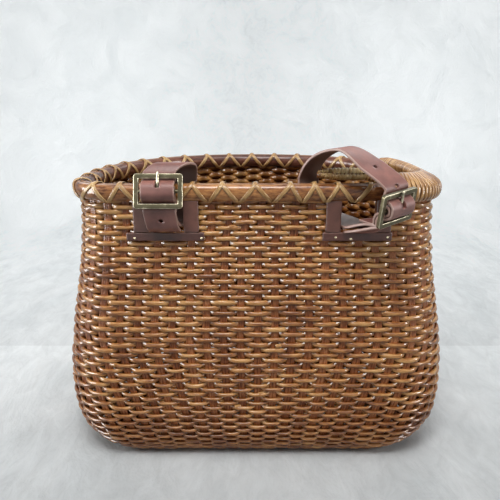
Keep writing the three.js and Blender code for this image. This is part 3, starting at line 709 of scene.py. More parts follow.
@dataclass
class Weave:
    """Plain weave of round reed over flat stakes, on the body's shape."""

    shape: BodyShape
    stakes: int = 58
    first_stake_x: float = 1.0
    stake_pitch: float = 12.8
    stake_spread: float = 0.14
    foot_gather: float = 0.26
    gather_height: float = 125.0
    front_stakes: Span = (5.0, 13.0)
    row_pitch: float = 4.6
    row_closing: float = 1.3
    widest_row: float = 118.0
    top_row: float = 229.0
    top_sink: float = 0.8
    reed_height: float = 0.85
    far_height: float = 0.12
    crossing_swell: float = 0.204
    far_crossing_swell: float = 0.132
    low_crossing: float = 0.6
    back_swell: float = 0.5
    reed_half_depth: float = 1.6
    swing: float = 1.6
    back_swing: float = 2.8
    low_swing: float = 0.6
    low_thinning: float = 0.2
    low_sag: float = 0.7
    low_heights: Span = (140.0, 50.0)
    squeeze: float = 1.6
    front_bias: float = 0.38
    mean_tone: float = 0.5
    # Painted shade towards the foot and painted light just under the neck.
    foot_painted_shade: float = 0.26
    foot_shade_heights: Span = (100.0, 10.0)
    neck_painted_light: float = 0.36
    neck_light_heights: Span = (180.0, 220.0)
    far_shade: float = 0.2
    # Strengths of painted shade on reed undersides and stake edges, and along reed tops.
    crevice_shade: float = 0.8
    top_crevice_shade: float = 0.35
    stake_width: float = 6.4
    stake_thickness: float = 1.1
    stake_edge: float = 0.1
    rib: float = 0.18
    stake_top: float = 246.0
    stake_bend: float = 30.0
    low_stake_shade: float = 0.55
    stake_shade_rise: float = 45.0
    top_lean: float = 2.6
    lean_heights: Span = (201.0, 211.0)
    inset: float = 2.75
    foot_inset: float = 0.3
    mean_tuck: float = 43.0
    steps: int = 10
    sides: int = 10
    groups: int = 5
    uneven: Unevenness = Unevenness()
    base_size: BaseSize = BaseSize()
    cut_ends: CutEnds = CutEnds()
    rng: np.random.Generator = field(default_factory=lambda: np.random.default_rng(7))

    def build(self) -> None:
        """Builds the rows, the stakes, the base and the cut ends."""
        self.rows()
        self.uprights()
        self.base()
        self.ends()

    def middle(self, height: float) -> tuple[Outline, float, float]:
        """Middle surface of the weave at a height: its outline, its lift and how far it lies over."""
        lay = self.shape.lay(height)
        depth = self.inset + self.foot_inset * lay
        return self.shape.outline(height, depth * math.sqrt(1 - lay * lay)), depth * lay, lay

    def stake_ways(self, height: float) -> np.ndarray:
        """Way along the outline of every stake at a height, with the first one repeated at the end."""
        gather = self.foot_gather * max(0.0, 1.0 - height / self.gather_height)
        pitch = self.stake_pitch * (1 + self.stake_spread * self.shape.swell(height)) * (1 - gather)
        share = self.far_share(np.arange(self.stakes) + 0.5)
        far = (self.middle(height)[0].length - self.stakes * pitch) / share.sum()
        lean = self.top_lean * eased(within(height, *self.lean_heights))
        ways = np.concatenate([[0.0], np.cumsum(pitch + far * share)])
        return self.first_stake_x + ways + lean * np.concatenate([1 - share, [1.0]])

    def far_share(self, places: np.ndarray) -> np.ndarray:
        """How far round from the front places are, counted in stakes: 0 in front, 1 on the sides and the back."""
        return eased(within(np.minimum(places, self.stakes - places), *self.front_stakes))

    def low(self, height: float) -> float:
        """How far down the wall a height is, from 0 above the belly to 1 under it."""
        return float(eased(within(height, *self.low_heights)))

    def pitch(self, height: np.ndarray | float) -> np.ndarray:
        """Distance from row to row at a height."""
        closing = self.row_closing * (np.asarray(height) / self.widest_row - 1) ** 2
        return self.row_pitch - np.where(np.asarray(height) < self.widest_row, closing, closing / 2)

    def row_heights(self) -> np.ndarray:
        """Heights of the rows, from those behind the rim down to the floor."""
        heights = np.linspace(0.0, self.top_row, 2000)
        tucks = np.array([self.shape.tuck(h) for h in heights]) * self.mean_tuck
        slope = np.hypot(np.diff(tucks), np.diff(heights)) / self.pitch(heights[1:])
        counts = np.concatenate([[0.0], np.cumsum(slope)])
        rows = np.interp(counts[-1] - np.arange(int(counts[-1]) + 1), counts, heights)
        above = self.top_row + float(self.pitch(self.top_row)) * np.array([2.0, 1.0])
        return np.concatenate([above, rows])

    def place(self, height: float, ways: np.ndarray, out: np.ndarray | float) -> tuple[np.ndarray, ...]:
        """Places on the wall, off its middle surface.

        Args:
            height: Height of the outer face.
            ways: Ways along the outline.
            out: Distance out from the middle surface.

        Returns:
            Points, outward directions and directions up the wall.
        """
        outline, lift, lay = self.middle(height)
        plan, normal = outline.at(ways)
        upright = math.sqrt(1 - lay * lay)
        parts = ((plan, height + lift), (normal * upright, -lay), (normal * lay, upright))
        points, outward, upward = (np.concatenate([flat, np.full((len(ways), 1), z)], 1) for flat, z in parts)
        return points + outward * np.broadcast_to(out, len(ways))[:, None], outward, upward

    def in_window(self, points: np.ndarray) -> np.ndarray:
        """Whether points of the wall lie in a strap window."""
        half = self.shape.window_width / 2 + self.reed_half_depth
        near = np.any([np.abs(points[:, 0] - x) < half for x in self.shape.windows], 0)
        front = points[:, 1] < self.shape.front_y + 4 * self.shape.wall
        return near & front & (points[:, 2] > self.shape.window_sill - self.row_pitch / 2)

    def rows(self) -> None:
        """Builds the woven rows in groups from the top down."""
        heights = self.row_heights()
        for number, group in enumerate(np.array_split(np.arange(len(heights)), self.groups), 1):
            skin = Skin(WEAVER)
            for row in group:
                self.row(skin, heights[row], int(row) % 2)
            skin.piece(f"weavers_{number}", *(["woven_wall"] if number == 1 else []))

    def row(self, skin: Skin, height: float, parity: int) -> None:
        """Adds one row of reed.

        Args:
            skin: Mesh that takes it.
            height: Height of the row.
            parity: 0 to pass in front of even stakes, 1 to pass in front of odd ones.
        """
        uneven = self.uneven
        places = np.arange(self.stakes * self.steps) / self.steps
        ways = np.interp(places, np.arange(self.stakes + 1), self.stake_ways(height))
        ways = ways + self.wander(places, uneven.way)
        wave = np.tanh(self.squeeze * (np.cos(math.pi * (places + parity)) + self.front_bias))
        behind, far, low = np.clip(-wave, 0.0, 1.0), self.far_share(places), self.low(height)
        sunk = self.top_sink if height > self.top_row else 1.0
        out = np.where(wave > 0, self.swing + self.low_swing * low, self.back_swing) * sunk * wave
        points, _, upward = self.place(height, ways, out * (1 + self.wander(places, uneven.swing)))
        points = points + upward * (self.wander(places, uneven.lift) - self.low_sag * low * wave)[:, None]
        # Painted light and shade by height: rows darker towards the foot, where the belly shades them, and lighter just
        # under the rim, offsetting the rim's shadow.
        height_light_and_shade = self.foot_painted_shade * within(height, *self.foot_shade_heights) - self.neck_painted_light * within(height, *self.neck_light_heights)
        # The rows behind the rim are also darker in tone: painted shade for the shadow under the canes.
        tone = self.mean_tone * sunk ** 3 - height_light_and_shade + self.rng.normal(0.0, uneven.row_tone)
        tone = np.clip(tone + self.wander(places, uneven.tone), 0.0, 1.0) - self.far_shade * far * behind
        fat = 1 + self.wander(places, uneven.girth)
        share = self.reed_height + self.far_height * far - self.low_thinning * low
        between = (self.crossing_swell + self.far_crossing_swell * far) * (1 - self.low_crossing * low)
        spread = self.back_swell * (1 + far) * np.sqrt(behind)
        tall = float(self.pitch(height)) / 2 * (share * fat + between * (1 - wave ** 2) + spread)
        rings = tube(points, upward, tall, self.reed_half_depth * fat, self.sides, True)
        # Painted shade on each reed: on its underside, in a band along its top, and where it dives behind a stake.
        turn = np.sin(around(self.sides))
        under = self.crevice_shade * np.clip(-turn, 0.0, 1.0) + self.top_crevice_shade * within(turn, 0.6, 1.0)
        dip = behind[:, None] + under[None, :]
        hidden = self.in_window(points)
        if hidden.any():
            for part in visible(hidden):
                skin.sweep(rings[part], tone=tone[part], dip=dip[part])
        else:
            order = np.roll(np.arange(len(points)), len(points) // 2)
            skin.sweep(rings[order], closed=True, tone=tone[order], dip=dip[order])

    def wander(self, places: np.ndarray, spread: float) -> np.ndarray:
        """Small smooth changes along a row.

        Args:
            places: Places along the row, counted in stakes.
            spread: Typical size of a change.

        Returns:
            The change at each place.
        """
        knots = self.rng.normal(0.0, spread, self.stakes)
        low = places.astype(int) % self.stakes
        share = eased(places - np.floor(places))
        return knots[low] * (1 - share) + knots[(low + 1) % self.stakes] * share

    def uprights(self) -> None:
        """Builds the flat stakes, from the floor up between the rim canes."""
        foot = np.linspace(0.0, self.stake_bend, 14, endpoint=False) ** 2 / self.stake_bend
        heights = np.concatenate([foot, np.linspace(self.stake_bend, self.stake_top, 34)])
        lines = [self.place(height, self.stake_ways(height)[:-1], 0.0) for height in heights]
        across = np.linspace(-1.0, 1.0, 17)
        ribs = 1 - self.rib + self.rib * np.cos(4 * math.pi * across)
        ridge = (1 - across ** 8) * ribs + self.stake_edge
        section = np.concatenate([np.stack([across, ridge], -1), np.stack([across, -ridge], -1)[::-1]])
        # Painted shade along the stakes' side edges, where the reeds cross over them.
        edges = np.where(np.abs(section[:, 0]) > 0.9, self.crevice_shade, 0.0)
        skin = Skin(STAKE)
        for stake in range(self.stakes):
            path, outward = (np.stack([line[k][stake] for line in lines]) for k in (0, 1))
            keep = ~self.in_window(path) | (path[:, 2] < self.shape.window_sill)
            last = len(path) if keep.all() else int(np.argmin(keep))
            path, outward = path[:last], outward[:last]
            half = self.stake_width / 2 * (1 + self.rng.normal(0.0, self.uneven.stake_width))
            side = unit(np.cross(outward, headings(path)))
            rings = extrude(path, side, outward, section * [half, self.stake_thickness / 2])
            tone = np.clip(self.rng.normal(self.mean_tone, self.uneven.stake_tone), 0.0, 1.0)
            # Painted shade on the stakes, stronger towards the foot, where the reeds above shade them.
            painted_dark = np.array([self.low_stake_shade * self.low(z + self.stake_shade_rise) for z in path[:, 2]])
            skin.sweep(rings, tone=tone, dip=painted_dark[:, None] + edges[None, :])
        skin.piece("stakes")

    def base(self) -> None:
        """Builds the woven base inside the foot."""
        size = self.base_size
        outline = self.shape.outline(0.0, size.inset).points
        stakes, reeds = Skin(STAKE), Skin(WEAVER)
        reach = math.floor(float(outline[:, 0].max()) / size.stake_pitch)
        for x in np.arange(-reach, reach + 1) * size.stake_pitch:
            span = crossing(outline[:, ::-1], x)
            if span is None:
                continue
            y = np.linspace(*span, 24)
            path = np.stack([np.full_like(y, x), y, np.full_like(y, size.level)], -1)
            rings = tube(path, np.array([0.0, 0.0, 1.0]), size.stake_half_height, self.stake_width / 2, 10)
            stakes.sweep(rings, tone=self.rng.uniform(*size.stake_tones))
        low, high = float(outline[:, 1].min()), float(outline[:, 1].max())
        for row, y in enumerate(np.arange(low + size.first_row, high - size.last_row, size.row_pitch)):
            span = crossing(outline, y)
            if span is None or span[1] - span[0] < size.stake_pitch:
                continue
            x = np.arange(*span, size.stake_pitch / self.steps)
            wave = np.tanh(size.squeeze * np.cos(math.pi * (x / size.stake_pitch + row))) / math.tanh(size.squeeze)
            line = np.full_like(x, y) + self.rng.normal(0, size.row_spread)
            path = np.stack([x, line, size.level + size.swing * wave], -1)
            rings = tube(path, np.array([0.0, 1.0, 0.0]), size.reed_half_width, size.reed_half_height, self.sides)
            # The base rows get a small painted-shade value, below the level at which the finish darkens them.
            reeds.sweep(rings, tone=self.rng.uniform(*size.row_tones), dip=size.row_dip)
        stakes.piece("base_stakes")
        reeds.piece("base_weavers", "woven_base")

    def ends(self) -> None:
        """Builds the cut ends of reed that stand out where one length follows another."""
        cut, rng = self.cut_ends, self.rng
        heights = self.row_heights()
        skin = Skin(WEAVER)
        for _ in range(cut.count):
            height = heights[int(rng.integers(cut.rows_above, len(heights) - cut.rows_below))]
            stake = self.stake_ways(height)[int(rng.integers(0, self.stakes))]
            way = stake + rng.choice([-1.0, 1.0]) * (self.stake_width / 2 + cut.past_stake)
            ways = way + np.linspace(*cut.reach, cut.steps) * rng.choice([-1.0, 1.0])
            points, _, upward = self.place(height, ways, np.linspace(*cut.out, cut.steps))
            if self.in_window(points).any():
                continue
            size = rng.uniform(*cut.sizes)
            tall = float(self.pitch(height)) / 2 * self.reed_height * size
            points = points + upward * rng.normal(0.0, cut.lift)
            rings = tube(points, upward, tall, self.reed_half_depth * size, self.sides)
            skin.sweep(rings, tone=rng.uniform(*cut.tones))
        skin.piece("reed_ends")


def visible(hidden: np.ndarray) -> list[np.ndarray]:
    """Runs of places round a loop that aren't hidden and can carry a skin."""
    order = np.roll(np.arange(len(hidden)), -int(np.argmax(hidden)))
    edges = np.flatnonzero(np.diff(np.concatenate([[0], (~hidden[order]).astype(int), [0]])))
    runs = [order[first:last] for first, last in zip(edges[::2], edges[1::2])]
    return [run for run in runs if len(run) > 2]


def crossing(points: np.ndarray, level: float) -> Span | None:
    """Lowest and highest place where a closed outline crosses a level.

    Args:
        points: Outline points, the second number of which is compared with the level.
        level: The level.

    Returns:
        The two places, or None where it isn't crossed.
    """
    side = points[:, 1] - level
    hits = np.flatnonzero(side[:-1] * side[1:] < 0)
    if len(hits) < 2:
        return None
    share = side[hits] / (side[hits] - side[hits + 1])
    places = points[hits, 0] + share * (points[hits + 1, 0] - points[hits, 0])
    return float(places.min()), float(places.max())


# Rim

STRIP_SECTION = np.array([(-1.0, 0.1), (-0.82, 0.75), (-0.4, 0.97), (0.4, 0.97), (0.82, 0.75), (1.0, 0.1),
                          (0.8, 0.0), (-0.8, 0.0)])


@dataclass(frozen=True)
class Tones:
    """Tones that change slowly along a length, with fine noise."""

    mean: float
    sway: float
    length: float
    spread: float

    def along(self, ways: np.ndarray, rng: np.random.Generator, phase: float = 0.0) -> np.ndarray:
        """Tone at each way."""
        return self.mean + self.sway * np.sin(ways / self.length + phase) + rng.normal(0.0, self.spread, len(ways))


CANE_TONES = Tones(0.5, 0.3, 37.0, 0.06)
STRIP_TONES = Tones(0.55, 0.18, 41.0, 0.05)


@dataclass
class Rim:
    """Half-round canes on both sides of the stakes, a reed on top, lashing, and a bound splice."""

    shape: BodyShape
    cane_height: float = 12.5
    outer_cane: float = 5.2
    inner_cane: float = 6.0
    edge_soft: float = 0.35
    edge_cut: float = 0.5
    bulge: float = 0.8
    seat: float = 1.5
    reed_radius: float = 1.4
    reed_up: float = 5.2
    reed_paler: float = 0.1
    sag: float = 1.6
    strip: float = 0.9
    strip_width: float = 3.5
    strip_edge_shade: float = 0.75
    lashing_pitch: float = 24.4
    lashing_start: float = 6.0
    lashing_sway: float = 0.28
    lashing_rest: Span = (0.6, 1.0)
    crossing_reach: float = 3.2
    crossing_lift: float = 0.05625
    apexes: tuple[float, ...] = (-121.3, -102.2, -75.0, -48.2, -25.9, -1.2, 24.8, 43.0, 60.8, 85.0)
    splice_start_x: float = 96.0
    splice_length: float = 150.0
    wrap_pitch: float = 3.0
    wrap_ends: float = 1.0
    wrap_thickness: float = 1.2
    wrap_overlap: float = 1.02
    wrap_clearance: float = 0.1
    wrap_tones: float = 0.2
    tail_start_x: float = 46.0
    tail_radius: float = 4.1
    tail_end_radius: float = 2.2
    tail_lean: float = math.radians(50.0)
    tail_taper: float = 14.0
    tail_gap: float = 0.3
    tail_stand: float = 4.2
    tail_tone: float = 0.55
    tail_pitch: float = 2.9
    tail_wrap: Span = (1.5, 4.0)
    tail_sides: int = 14
    scarf_x: float = 84.0
    scarf_slope: float = 0.55
    scarf_step: float = 1.3
    scarf_length: float = 60.0
    clearance: float = 0.2
    sides: int = 32
    rng: np.random.Generator = field(default_factory=lambda: np.random.default_rng(19))

    def __post_init__(self) -> None:
        """Measures the rim's path."""
        self.path = self.shape.outline(self.shape.neck_height, self.shape.wall / 2)
        self.level = self.shape.rim_height - self.cane_height / 2 - self.sag
        self.splice_end = self.splice_start_x + self.splice_length

    @property
    def face_y(self) -> float:
        """Y of the outer cane's front."""
        return self.shape.front_y + self.shape.wall / 2 - self.seat - self.outer_cane

    @property
    def inside_y(self) -> float:
        """Y of the inner cane's inside, in front."""
        return self.shape.front_y + self.shape.wall / 2 + self.seat + self.inner_cane

    def build(self) -> None:
        """Builds the canes, the lashing and the splice."""
        self.canes()
        self.lashing()
        self.splice()

    def place(self, ways: np.ndarray, out: np.ndarray | float, up: np.ndarray | float) -> np.ndarray:
        """Points of the rim: ways along it, out from its middle, up from the middle of the canes."""
        plan, normal = self.path.at(np.asarray(ways, float))
        spot = plan + normal * np.broadcast_to(out, len(plan))[:, None]
        return np.concatenate([spot, (self.level + np.broadcast_to(up, len(plan)))[:, None]], 1)

    def hoop(self, sections: np.ndarray, ways: np.ndarray) -> np.ndarray:
        """Rings along the rim of one section, or of a section for each way."""
        return np.stack([self.place(ways, sections[..., k, 0], sections[..., k, 1])
                         for k in range(sections.shape[-2])], 1)

    def half_round(self, thickness: float, side: float) -> np.ndarray:
        """Section of a half-round cane, with softened edges; side is 1 outside and -1 inside."""
        angle, half = np.linspace(-math.pi / 2, math.pi / 2, 18), self.cane_height / 2
        out = self.seat + self.edge_soft + (thickness - self.edge_soft) * np.cos(angle) ** self.bulge
        flat = [(side * self.seat, half - self.edge_cut), (side * self.seat, self.edge_cut - half)]
        return np.concatenate([np.stack([side * out, half * np.sin(angle)], -1), flat])

    def members(self) -> np.ndarray:
        """Section points of all that the lashing goes round."""
        return np.concatenate([self.half_round(self.outer_cane, 1.0), self.half_round(self.inner_cane, -1.0),
                               disc(0.0, self.reed_up, self.reed_radius, 16)])

    def girth(self, points: np.ndarray, clearance: float, sides: int) -> np.ndarray:
        """Outline that just clears section points, from its outer side by the top.

        Args:
            points: Section points.
            clearance: Distance to keep from them.
            sides: Number of corners.

        Returns:
            Corners as (out, up).
        """
        rays = disc(0.0, 0.0, 1.0, sides)
        reach = (points @ rays.T).max(0) + clearance
        after, reach_after = np.roll(rays, -1, 0), np.roll(reach, -1)
        cross = rays[:, 0] * after[:, 1] - rays[:, 1] * after[:, 0]
        out = (reach * after[:, 1] - reach_after * rays[:, 1]) / cross
        up = (rays[:, 0] * reach_after - after[:, 0] * reach) / cross
        return np.stack([out, up], -1)

    def canes(self) -> None:
        """Builds the two canes and the reed on top of them."""
        start = self.splice_start_x + self.splice_length / 2
        ways = start + np.linspace(0.0, self.path.length, 460, endpoint=False)
        tone = CANE_TONES.along(ways, self.rng)
        outer = self.half_round(self.outer_cane, 1.0)
        past = np.mod(ways, self.path.length)[:, None] - (self.scarf_x + self.scarf_slope * outer[None, :, 1])
        cut = (past > 0) & (past < self.scarf_length) & (outer[None, :, 0] > self.seat + self.edge_soft + 0.05)
        scarfed = outer - self.scarf_step * np.stack([cut, np.zeros_like(cut)], -1)
        canes = [("outer_cane", CANE, scarfed, 0.0),
                 ("inner_cane", INNER_CANE, self.half_round(self.inner_cane, -1.0), 0.0),
                 ("top_reed", TOP_REED, disc(0.0, self.reed_up, self.reed_radius, 12), self.reed_paler)]
        for name, finish, section, paler in canes:
            skin = Skin(finish)
            skin.sweep(self.hoop(section, ways), closed=True, tone=tone + paler)
            skin.piece(name, f"rim_{name}")

    def wind(self, skin: Skin, ways: np.ndarray, corners: np.ndarray, size: Span, tone: np.ndarray) -> None:
        """Adds a flat strip along a winding.

        Args:
            skin: Mesh that takes it.
            ways: Way along the rim at each step.
            corners: Place (out, up) of its underside at each step.
            size: Width and thickness of the strip.
            tone: Tone at each step.
        """
        path, middle = self.place(ways, corners[:, 0], corners[:, 1]), self.place(ways, 0.0, 0.0)
        ahead = headings(path)
        normal = unit(np.cross(ahead, unit(self.place(ways + 0.5, 0.0, 0.0) - middle)))
        inward = np.einsum("ij,ij->i", normal, path - middle) < 0
        normal = np.where(inward[:, None], -normal, normal)
        section = STRIP_SECTION * [size[0] / 2, size[1]]
        # Painted shade along both edges of each strip, between neighbouring turns.
        edge = np.where(np.abs(STRIP_SECTION[:, 0]) > 0.9, self.strip_edge_shade, 0.0)
        rings = extrude(path, unit(np.cross(normal, ahead)), normal, section)
        skin.sweep(rings, tone=np.clip(tone, 0, 1), dip=edge[None, :])

    def lashing(self) -> None:
        """Builds the two crossed passes of the lashing."""
        start, front = self.splice_end + self.lashing_start, self.path.length + np.array(self.apexes)
        hidden = round((front[0] - start) / self.lashing_pitch)
        apexes = np.concatenate([np.linspace(start, front[0], hidden, endpoint=False), front])
        turns = len(apexes) - 1
        ring = self.girth(self.members(), self.clearance, self.sides)
        ring = np.roll(ring, -int(np.argmax(ring[:, 1] - 0.02 * np.abs(ring[:, 0]))), 0)
        if ring[2, 0] < ring[0, 0]:
            ring = np.concatenate([ring[:1], ring[:0:-1]])
        half = int(np.argmin(ring[:, 1]))
        rest_low, rest_high = self.lashing_rest
        heights = within(ring[:, 1], ring[:, 1].min() - rest_low, ring[:, 1].max() - rest_high)
        straight = np.where(np.arange(self.sides) <= half, 0.5 * (1 - heights), 0.5 + 0.5 * heights)
        gone = travelled(np.concatenate([ring, ring[:1]]))
        progress = (1 - self.lashing_sway) * straight + self.lashing_sway * gone[:-1] / gone[-1]
        steps = np.arange(turns * self.sides + 1)
        corner = steps % self.sides
        climb = steps // self.sides + progress[corner]
        near = sum(np.exp(-((corner - apex) / self.crossing_reach) ** 2) for apex in (0, self.sides, half))
        passes = {"lashing_first_pass": climb, "lashing_second_pass": turns - climb}
        for number, (node, turn) in enumerate(passes.items()):
            ways = np.interp(turn, np.arange(turns + 1), apexes)
            corners = ring[corner] * (1 + number * near * self.crossing_lift)[:, None]
            skin = Skin(STRIP)
            self.wind(skin, ways, corners, (self.strip_width, self.strip), STRIP_TONES.along(steps, self.rng, number))
            skin.piece(f"lashing_{number + 1}", node)

    def rod(self, way: float) -> np.ndarray:
        """Section points of the splice tail at a way along the rim."""
        settled = eased(within(way, self.splice_start_x - self.tail_taper, self.splice_start_x))
        ends = within(min(way - self.tail_start_x, self.splice_end - way), 0.0, self.tail_taper)
        radius = self.tail_end_radius + (self.tail_radius - self.tail_end_radius) * ends
        reach = self.cane_height / 2 + self.tail_radius + self.tail_gap + self.tail_stand * (1 - settled)
        out, up = -self.seat - reach * math.cos(self.tail_lean), reach * math.sin(self.tail_lean)
        return disc(out, up, radius, self.tail_sides)

    def splice(self) -> None:
        """Builds the tail of the splice, the binding round the rim and the binding round the tail."""
        ways = np.linspace(self.tail_start_x, self.splice_end, 90)
        tail = Skin(CANE)
        tail.sweep(self.hoop(np.stack([self.rod(way) for way in ways]), ways), tone=self.tail_tone)
        tail.piece("splice_tail", "rim_splice_tail")
        members = self.members()
        wrap = Skin(WRAP)
        self.bind(wrap, (self.splice_start_x + self.wrap_ends, self.splice_end - self.wrap_ends), self.wrap_pitch,
                  lambda way: np.concatenate([members, self.rod(way)]), 28)
        wrap.piece("splice_wrap", "splice_binding")
        first, last = self.tail_wrap
        wrap = Skin(LIT_TAIL_WRAP)
        self.bind(wrap, (self.tail_start_x + first, self.splice_start_x - last), self.tail_pitch, self.rod, 18)
        wrap.piece("tail_wrap", "tail_binding")

    def bind(self, skin: Skin, span: Span, pitch: float, bundle: Callable[[float], np.ndarray], sides: int) -> None:
        """Adds a close binding.

        Args:
            skin: Mesh that takes it.
            span: Ways along the rim of its first and last turn.
            pitch: Distance from turn to turn.
            bundle: Section points inside it at a way along the rim.
            sides: Steps in a turn.
        """
        start, end = span
        steps = np.arange(int((end - start) / pitch) * sides + 1)
        ways = start + pitch * steps / sides
        stations = np.linspace(start, end, 60)
        girths = np.stack([self.girth(bundle(way), self.wrap_clearance, sides) for way in stations])
        share = np.interp(ways, stations, np.arange(len(stations)))
        low = np.minimum(share.astype(int), len(stations) - 2)
        part, corner = (share - low)[:, None], steps % sides
        corners = girths[low, corner] * (1 - part) + girths[low + 1, corner] * part
        tones = np.repeat(self.rng.normal(0.0, self.wrap_tones, len(steps) // sides + 2), sides)
        size = (pitch * self.wrap_overlap, self.wrap_thickness)
        self.wind(skin, ways, corners, size, 0.5 + tones[:len(steps)])


# Straps and buckles


@dataclass(frozen=True)
class BuckleSize:
    """Sizes of a strap, its buckle and its prong."""

    strap_width: float = 24.0
    strap: float = 2.0
    strap_soft: float = 0.55
    strap_edge: Span = (1.1, 0.2)
    width: float = 35.6
    height: float = 25.4
    bar: float = 3.6
    thickness: float = 3.0
    corner: float = 0.4
    soft: float = 0.5
    centre_bar: float = 1.45
    fold_core: float = 1.8
    prong: float = 1.05
    prong_flat: float = 1.18
    prong_taper: float = 0.72
    prong_tip: float = 0.4
    overhang: float = 1.2
    play: float = 0.7
    slot_play: float = 0.3
    slot_start: float = 1.8
    tilt_play: float = 1.6
    crest_breadth: float = 1.9
    tongue_inset: float = 0.4
    short_end: float = 1.5
    layer_gap: float = 0.5
    hole: float = 1.6
    hole_spacing: float = 20.0
    steps: int = 6

    @property
    def bar_reach(self) -> float:
        """Distance from the centre bar to the middle of an outer bar."""
        return (self.height - self.bar) / 2

    @property
    def fold(self) -> float:
        """Radius of the strap's fold round the centre bar."""
        return self.fold_core + self.strap / 2

    @property
    def layer(self) -> float:
        """Distance from one layer of strap to the next."""
        return self.strap + self.layer_gap

    @property
    def crest(self) -> float:
        """Height of the tongue over the centre bar."""
        return self.fold + self.layer

    @property
    def under_bar(self) -> float:
        """Height of the tongue under the outer bars."""
        return -(self.thickness / 2 + self.tilt_play + self.strap / 2)

    @property
    def past_bar(self) -> float:
        """Place of the short end below the near bar."""
        return -(self.bar_reach + self.bar / 2 + self.short_end)

    @property
    def slot(self) -> float:
        """Half width of the slot for the prong."""
        return self.prong_flat * self.prong + self.slot_play

    def tongue(self, y: float) -> float:
        """Height of the tongue at a place across the buckle."""
        share = min(1.0, abs(y) / (self.bar_reach - self.tongue_inset * self.bar)) ** self.crest_breadth
        return self.under_bar + (self.crest - self.under_bar) * (1 + math.cos(math.pi * share)) / 2

    def behind(self, y: float, depth: float) -> Span:
        """Point at a depth behind the tongue."""
        slope = (self.tongue(y + 0.3) - self.tongue(y - 0.3)) / 0.6
        length = math.hypot(1.0, slope)
        return y + depth * slope / length, self.tongue(y) - depth / length

    def fold_points(self) -> list[Span]:
        """Points of the folded end, from the short end round the centre bar to under the tongue."""
        places = [-self.bar_reach * (i + 1) / self.steps for i in range(self.steps)]
        angles = [math.pi * (i / self.steps - 0.5) for i in range(self.steps + 1)]
        turn = [(self.fold * math.cos(a), self.fold * math.sin(a)) for a in angles]
        back = [self.behind(y, 2 * self.layer) for y in reversed(places[self.steps // 2:])]
        front = [self.behind(y, self.layer) for y in places]
        return [(self.past_bar, self.under_bar - 2 * self.layer), *back, *turn, *front,
                (self.past_bar, self.under_bar - self.layer)]

    def tongue_points(self) -> list[Span]:
        """Points of the tongue, from above the far bar to below the near bar."""
        places = [self.bar_reach * (1 - i / self.steps) for i in range(2 * self.steps + 1)]
        return [(-self.past_bar, self.under_bar), *((y, self.tongue(y)) for y in places),
                (self.past_bar, self.under_bar)]


class Ribbon:
    """Flat band along a smooth curve through places with width directions."""

    def __init__(self, places: np.ndarray, widths: np.ndarray) -> None:
        """Keeps the places and their width directions."""
        self.places = places
        self.widths = widths
        first, last = 2 * places[0] - places[1], 2 * places[-1] - places[-2]
        self.knots = np.concatenate([[first], places, [last]])

    def point(self, at: float) -> np.ndarray:
        """Place on the curve; at counts places from 0."""
        i = min(int(at), len(self.places) - 2)
        t = at - i
        a, b, c, d = self.knots[i:i + 4]
        before, here, after = (max(float(np.sum((q - p) ** 2)) ** 0.25, 1e-4) for p, q in ((a, b), (b, c), (c, d)))
        start = ((b - a) / before - (c - a) / (before + here) + (c - b) / here) * here
        end = ((c - b) / here - (d - b) / (here + after) + (d - c) / after) * here
        return ((2 * t ** 3 - 3 * t ** 2 + 1) * b + (t ** 3 - 2 * t ** 2 + t) * start
                + (3 * t ** 2 - 2 * t ** 3) * c + (t ** 3 - t ** 2) * end)

    def frame(self, at: float) -> tuple[np.ndarray, np.ndarray, np.ndarray]:
        """Middle, width direction and face normal at a place along it."""
        top = len(self.places) - 1
        ahead = unit(self.point(min(at + 0.01, top)) - self.point(max(at - 0.01, 0.0)))
        i = min(int(at), top - 1)
        across = unit(self.widths[i] * (1 - (at - i)) + self.widths[i + 1] * (at - i))
        return self.point(at), across, unit(np.cross(ahead, across))

    def stops(self, step: float) -> np.ndarray:
        """Places along it that lie about a step apart."""
        stops: list[float] = []
        for i, gap in enumerate(np.linalg.norm(np.diff(self.places, axis=0), axis=1)):
            count = max(2, round(float(gap) / step))
            stops += [i + k / count for k in range(count)]
        return np.array([*stops, len(self.places) - 1.0])

    def along(self, start: float, distance: float) -> float:
        """Place at a distance from another, negative towards the start."""
        at, left, here = start, abs(distance), self.point(start)
        while left > 0:
            at += math.copysign(0.005, distance)
            nxt = self.point(at)
            left -= float(np.linalg.norm(nxt - here))
            here = nxt
        return at


Route = list[tuple[Point, Point]]


@dataclass(frozen=True)
class Cutter:
    """Box or round punch in a frame of its own."""

    middle: np.ndarray
    axes: np.ndarray
    halves: Point
    is_round: bool = False

    def build(self) -> bpy.types.Object:
        """Makes the cutter as an object."""
        frame_in_scene = np.eye(4)
        frame_in_scene[:3, :3], frame_in_scene[:3, 3] = self.axes.T, self.middle * MM
        matrix = Matrix(frame_in_scene.tolist()) @ Matrix.Diagonal((*(2 * h * MM for h in self.halves), 1.0))
        work = bmesh.new()
        if self.is_round:
            bmesh.ops.create_cone(work, cap_ends=True, segments=20, radius1=0.5, radius2=0.5, depth=1.0, matrix=matrix)
        else:
            bmesh.ops.create_cube(work, size=1.0, matrix=matrix)
        mesh = bpy.data.meshes.new("cutter")
        work.to_mesh(mesh)
        work.free()
        made = bpy.data.objects.new("cutter", mesh)
        bpy.context.collection.objects.link(made)
        return made


def punch(piece: bpy.types.Object, cutters: Sequence[Cutter]) -> None:
    """Cuts holes through a piece.

    Args:
        piece: Piece to cut.
        cutters: What is cut out of it.
    """
    tools = [cutter.build() for cutter in cutters]
    for tool in tools:
        step = piece.modifiers.new("hole", "BOOLEAN")
        step.operation, step.object, step.solver = "DIFFERENCE", tool, "EXACT"
    bpy.context.view_layer.update()
    cut = bpy.data.meshes.new_from_object(piece.evaluated_get(bpy.context.evaluated_depsgraph_get()))
    piece.modifiers.clear()
    piece.data = cut
    for tool in tools:
        mesh = tool.data
        bpy.data.objects.remove(tool)
        bpy.data.meshes.remove(mesh)


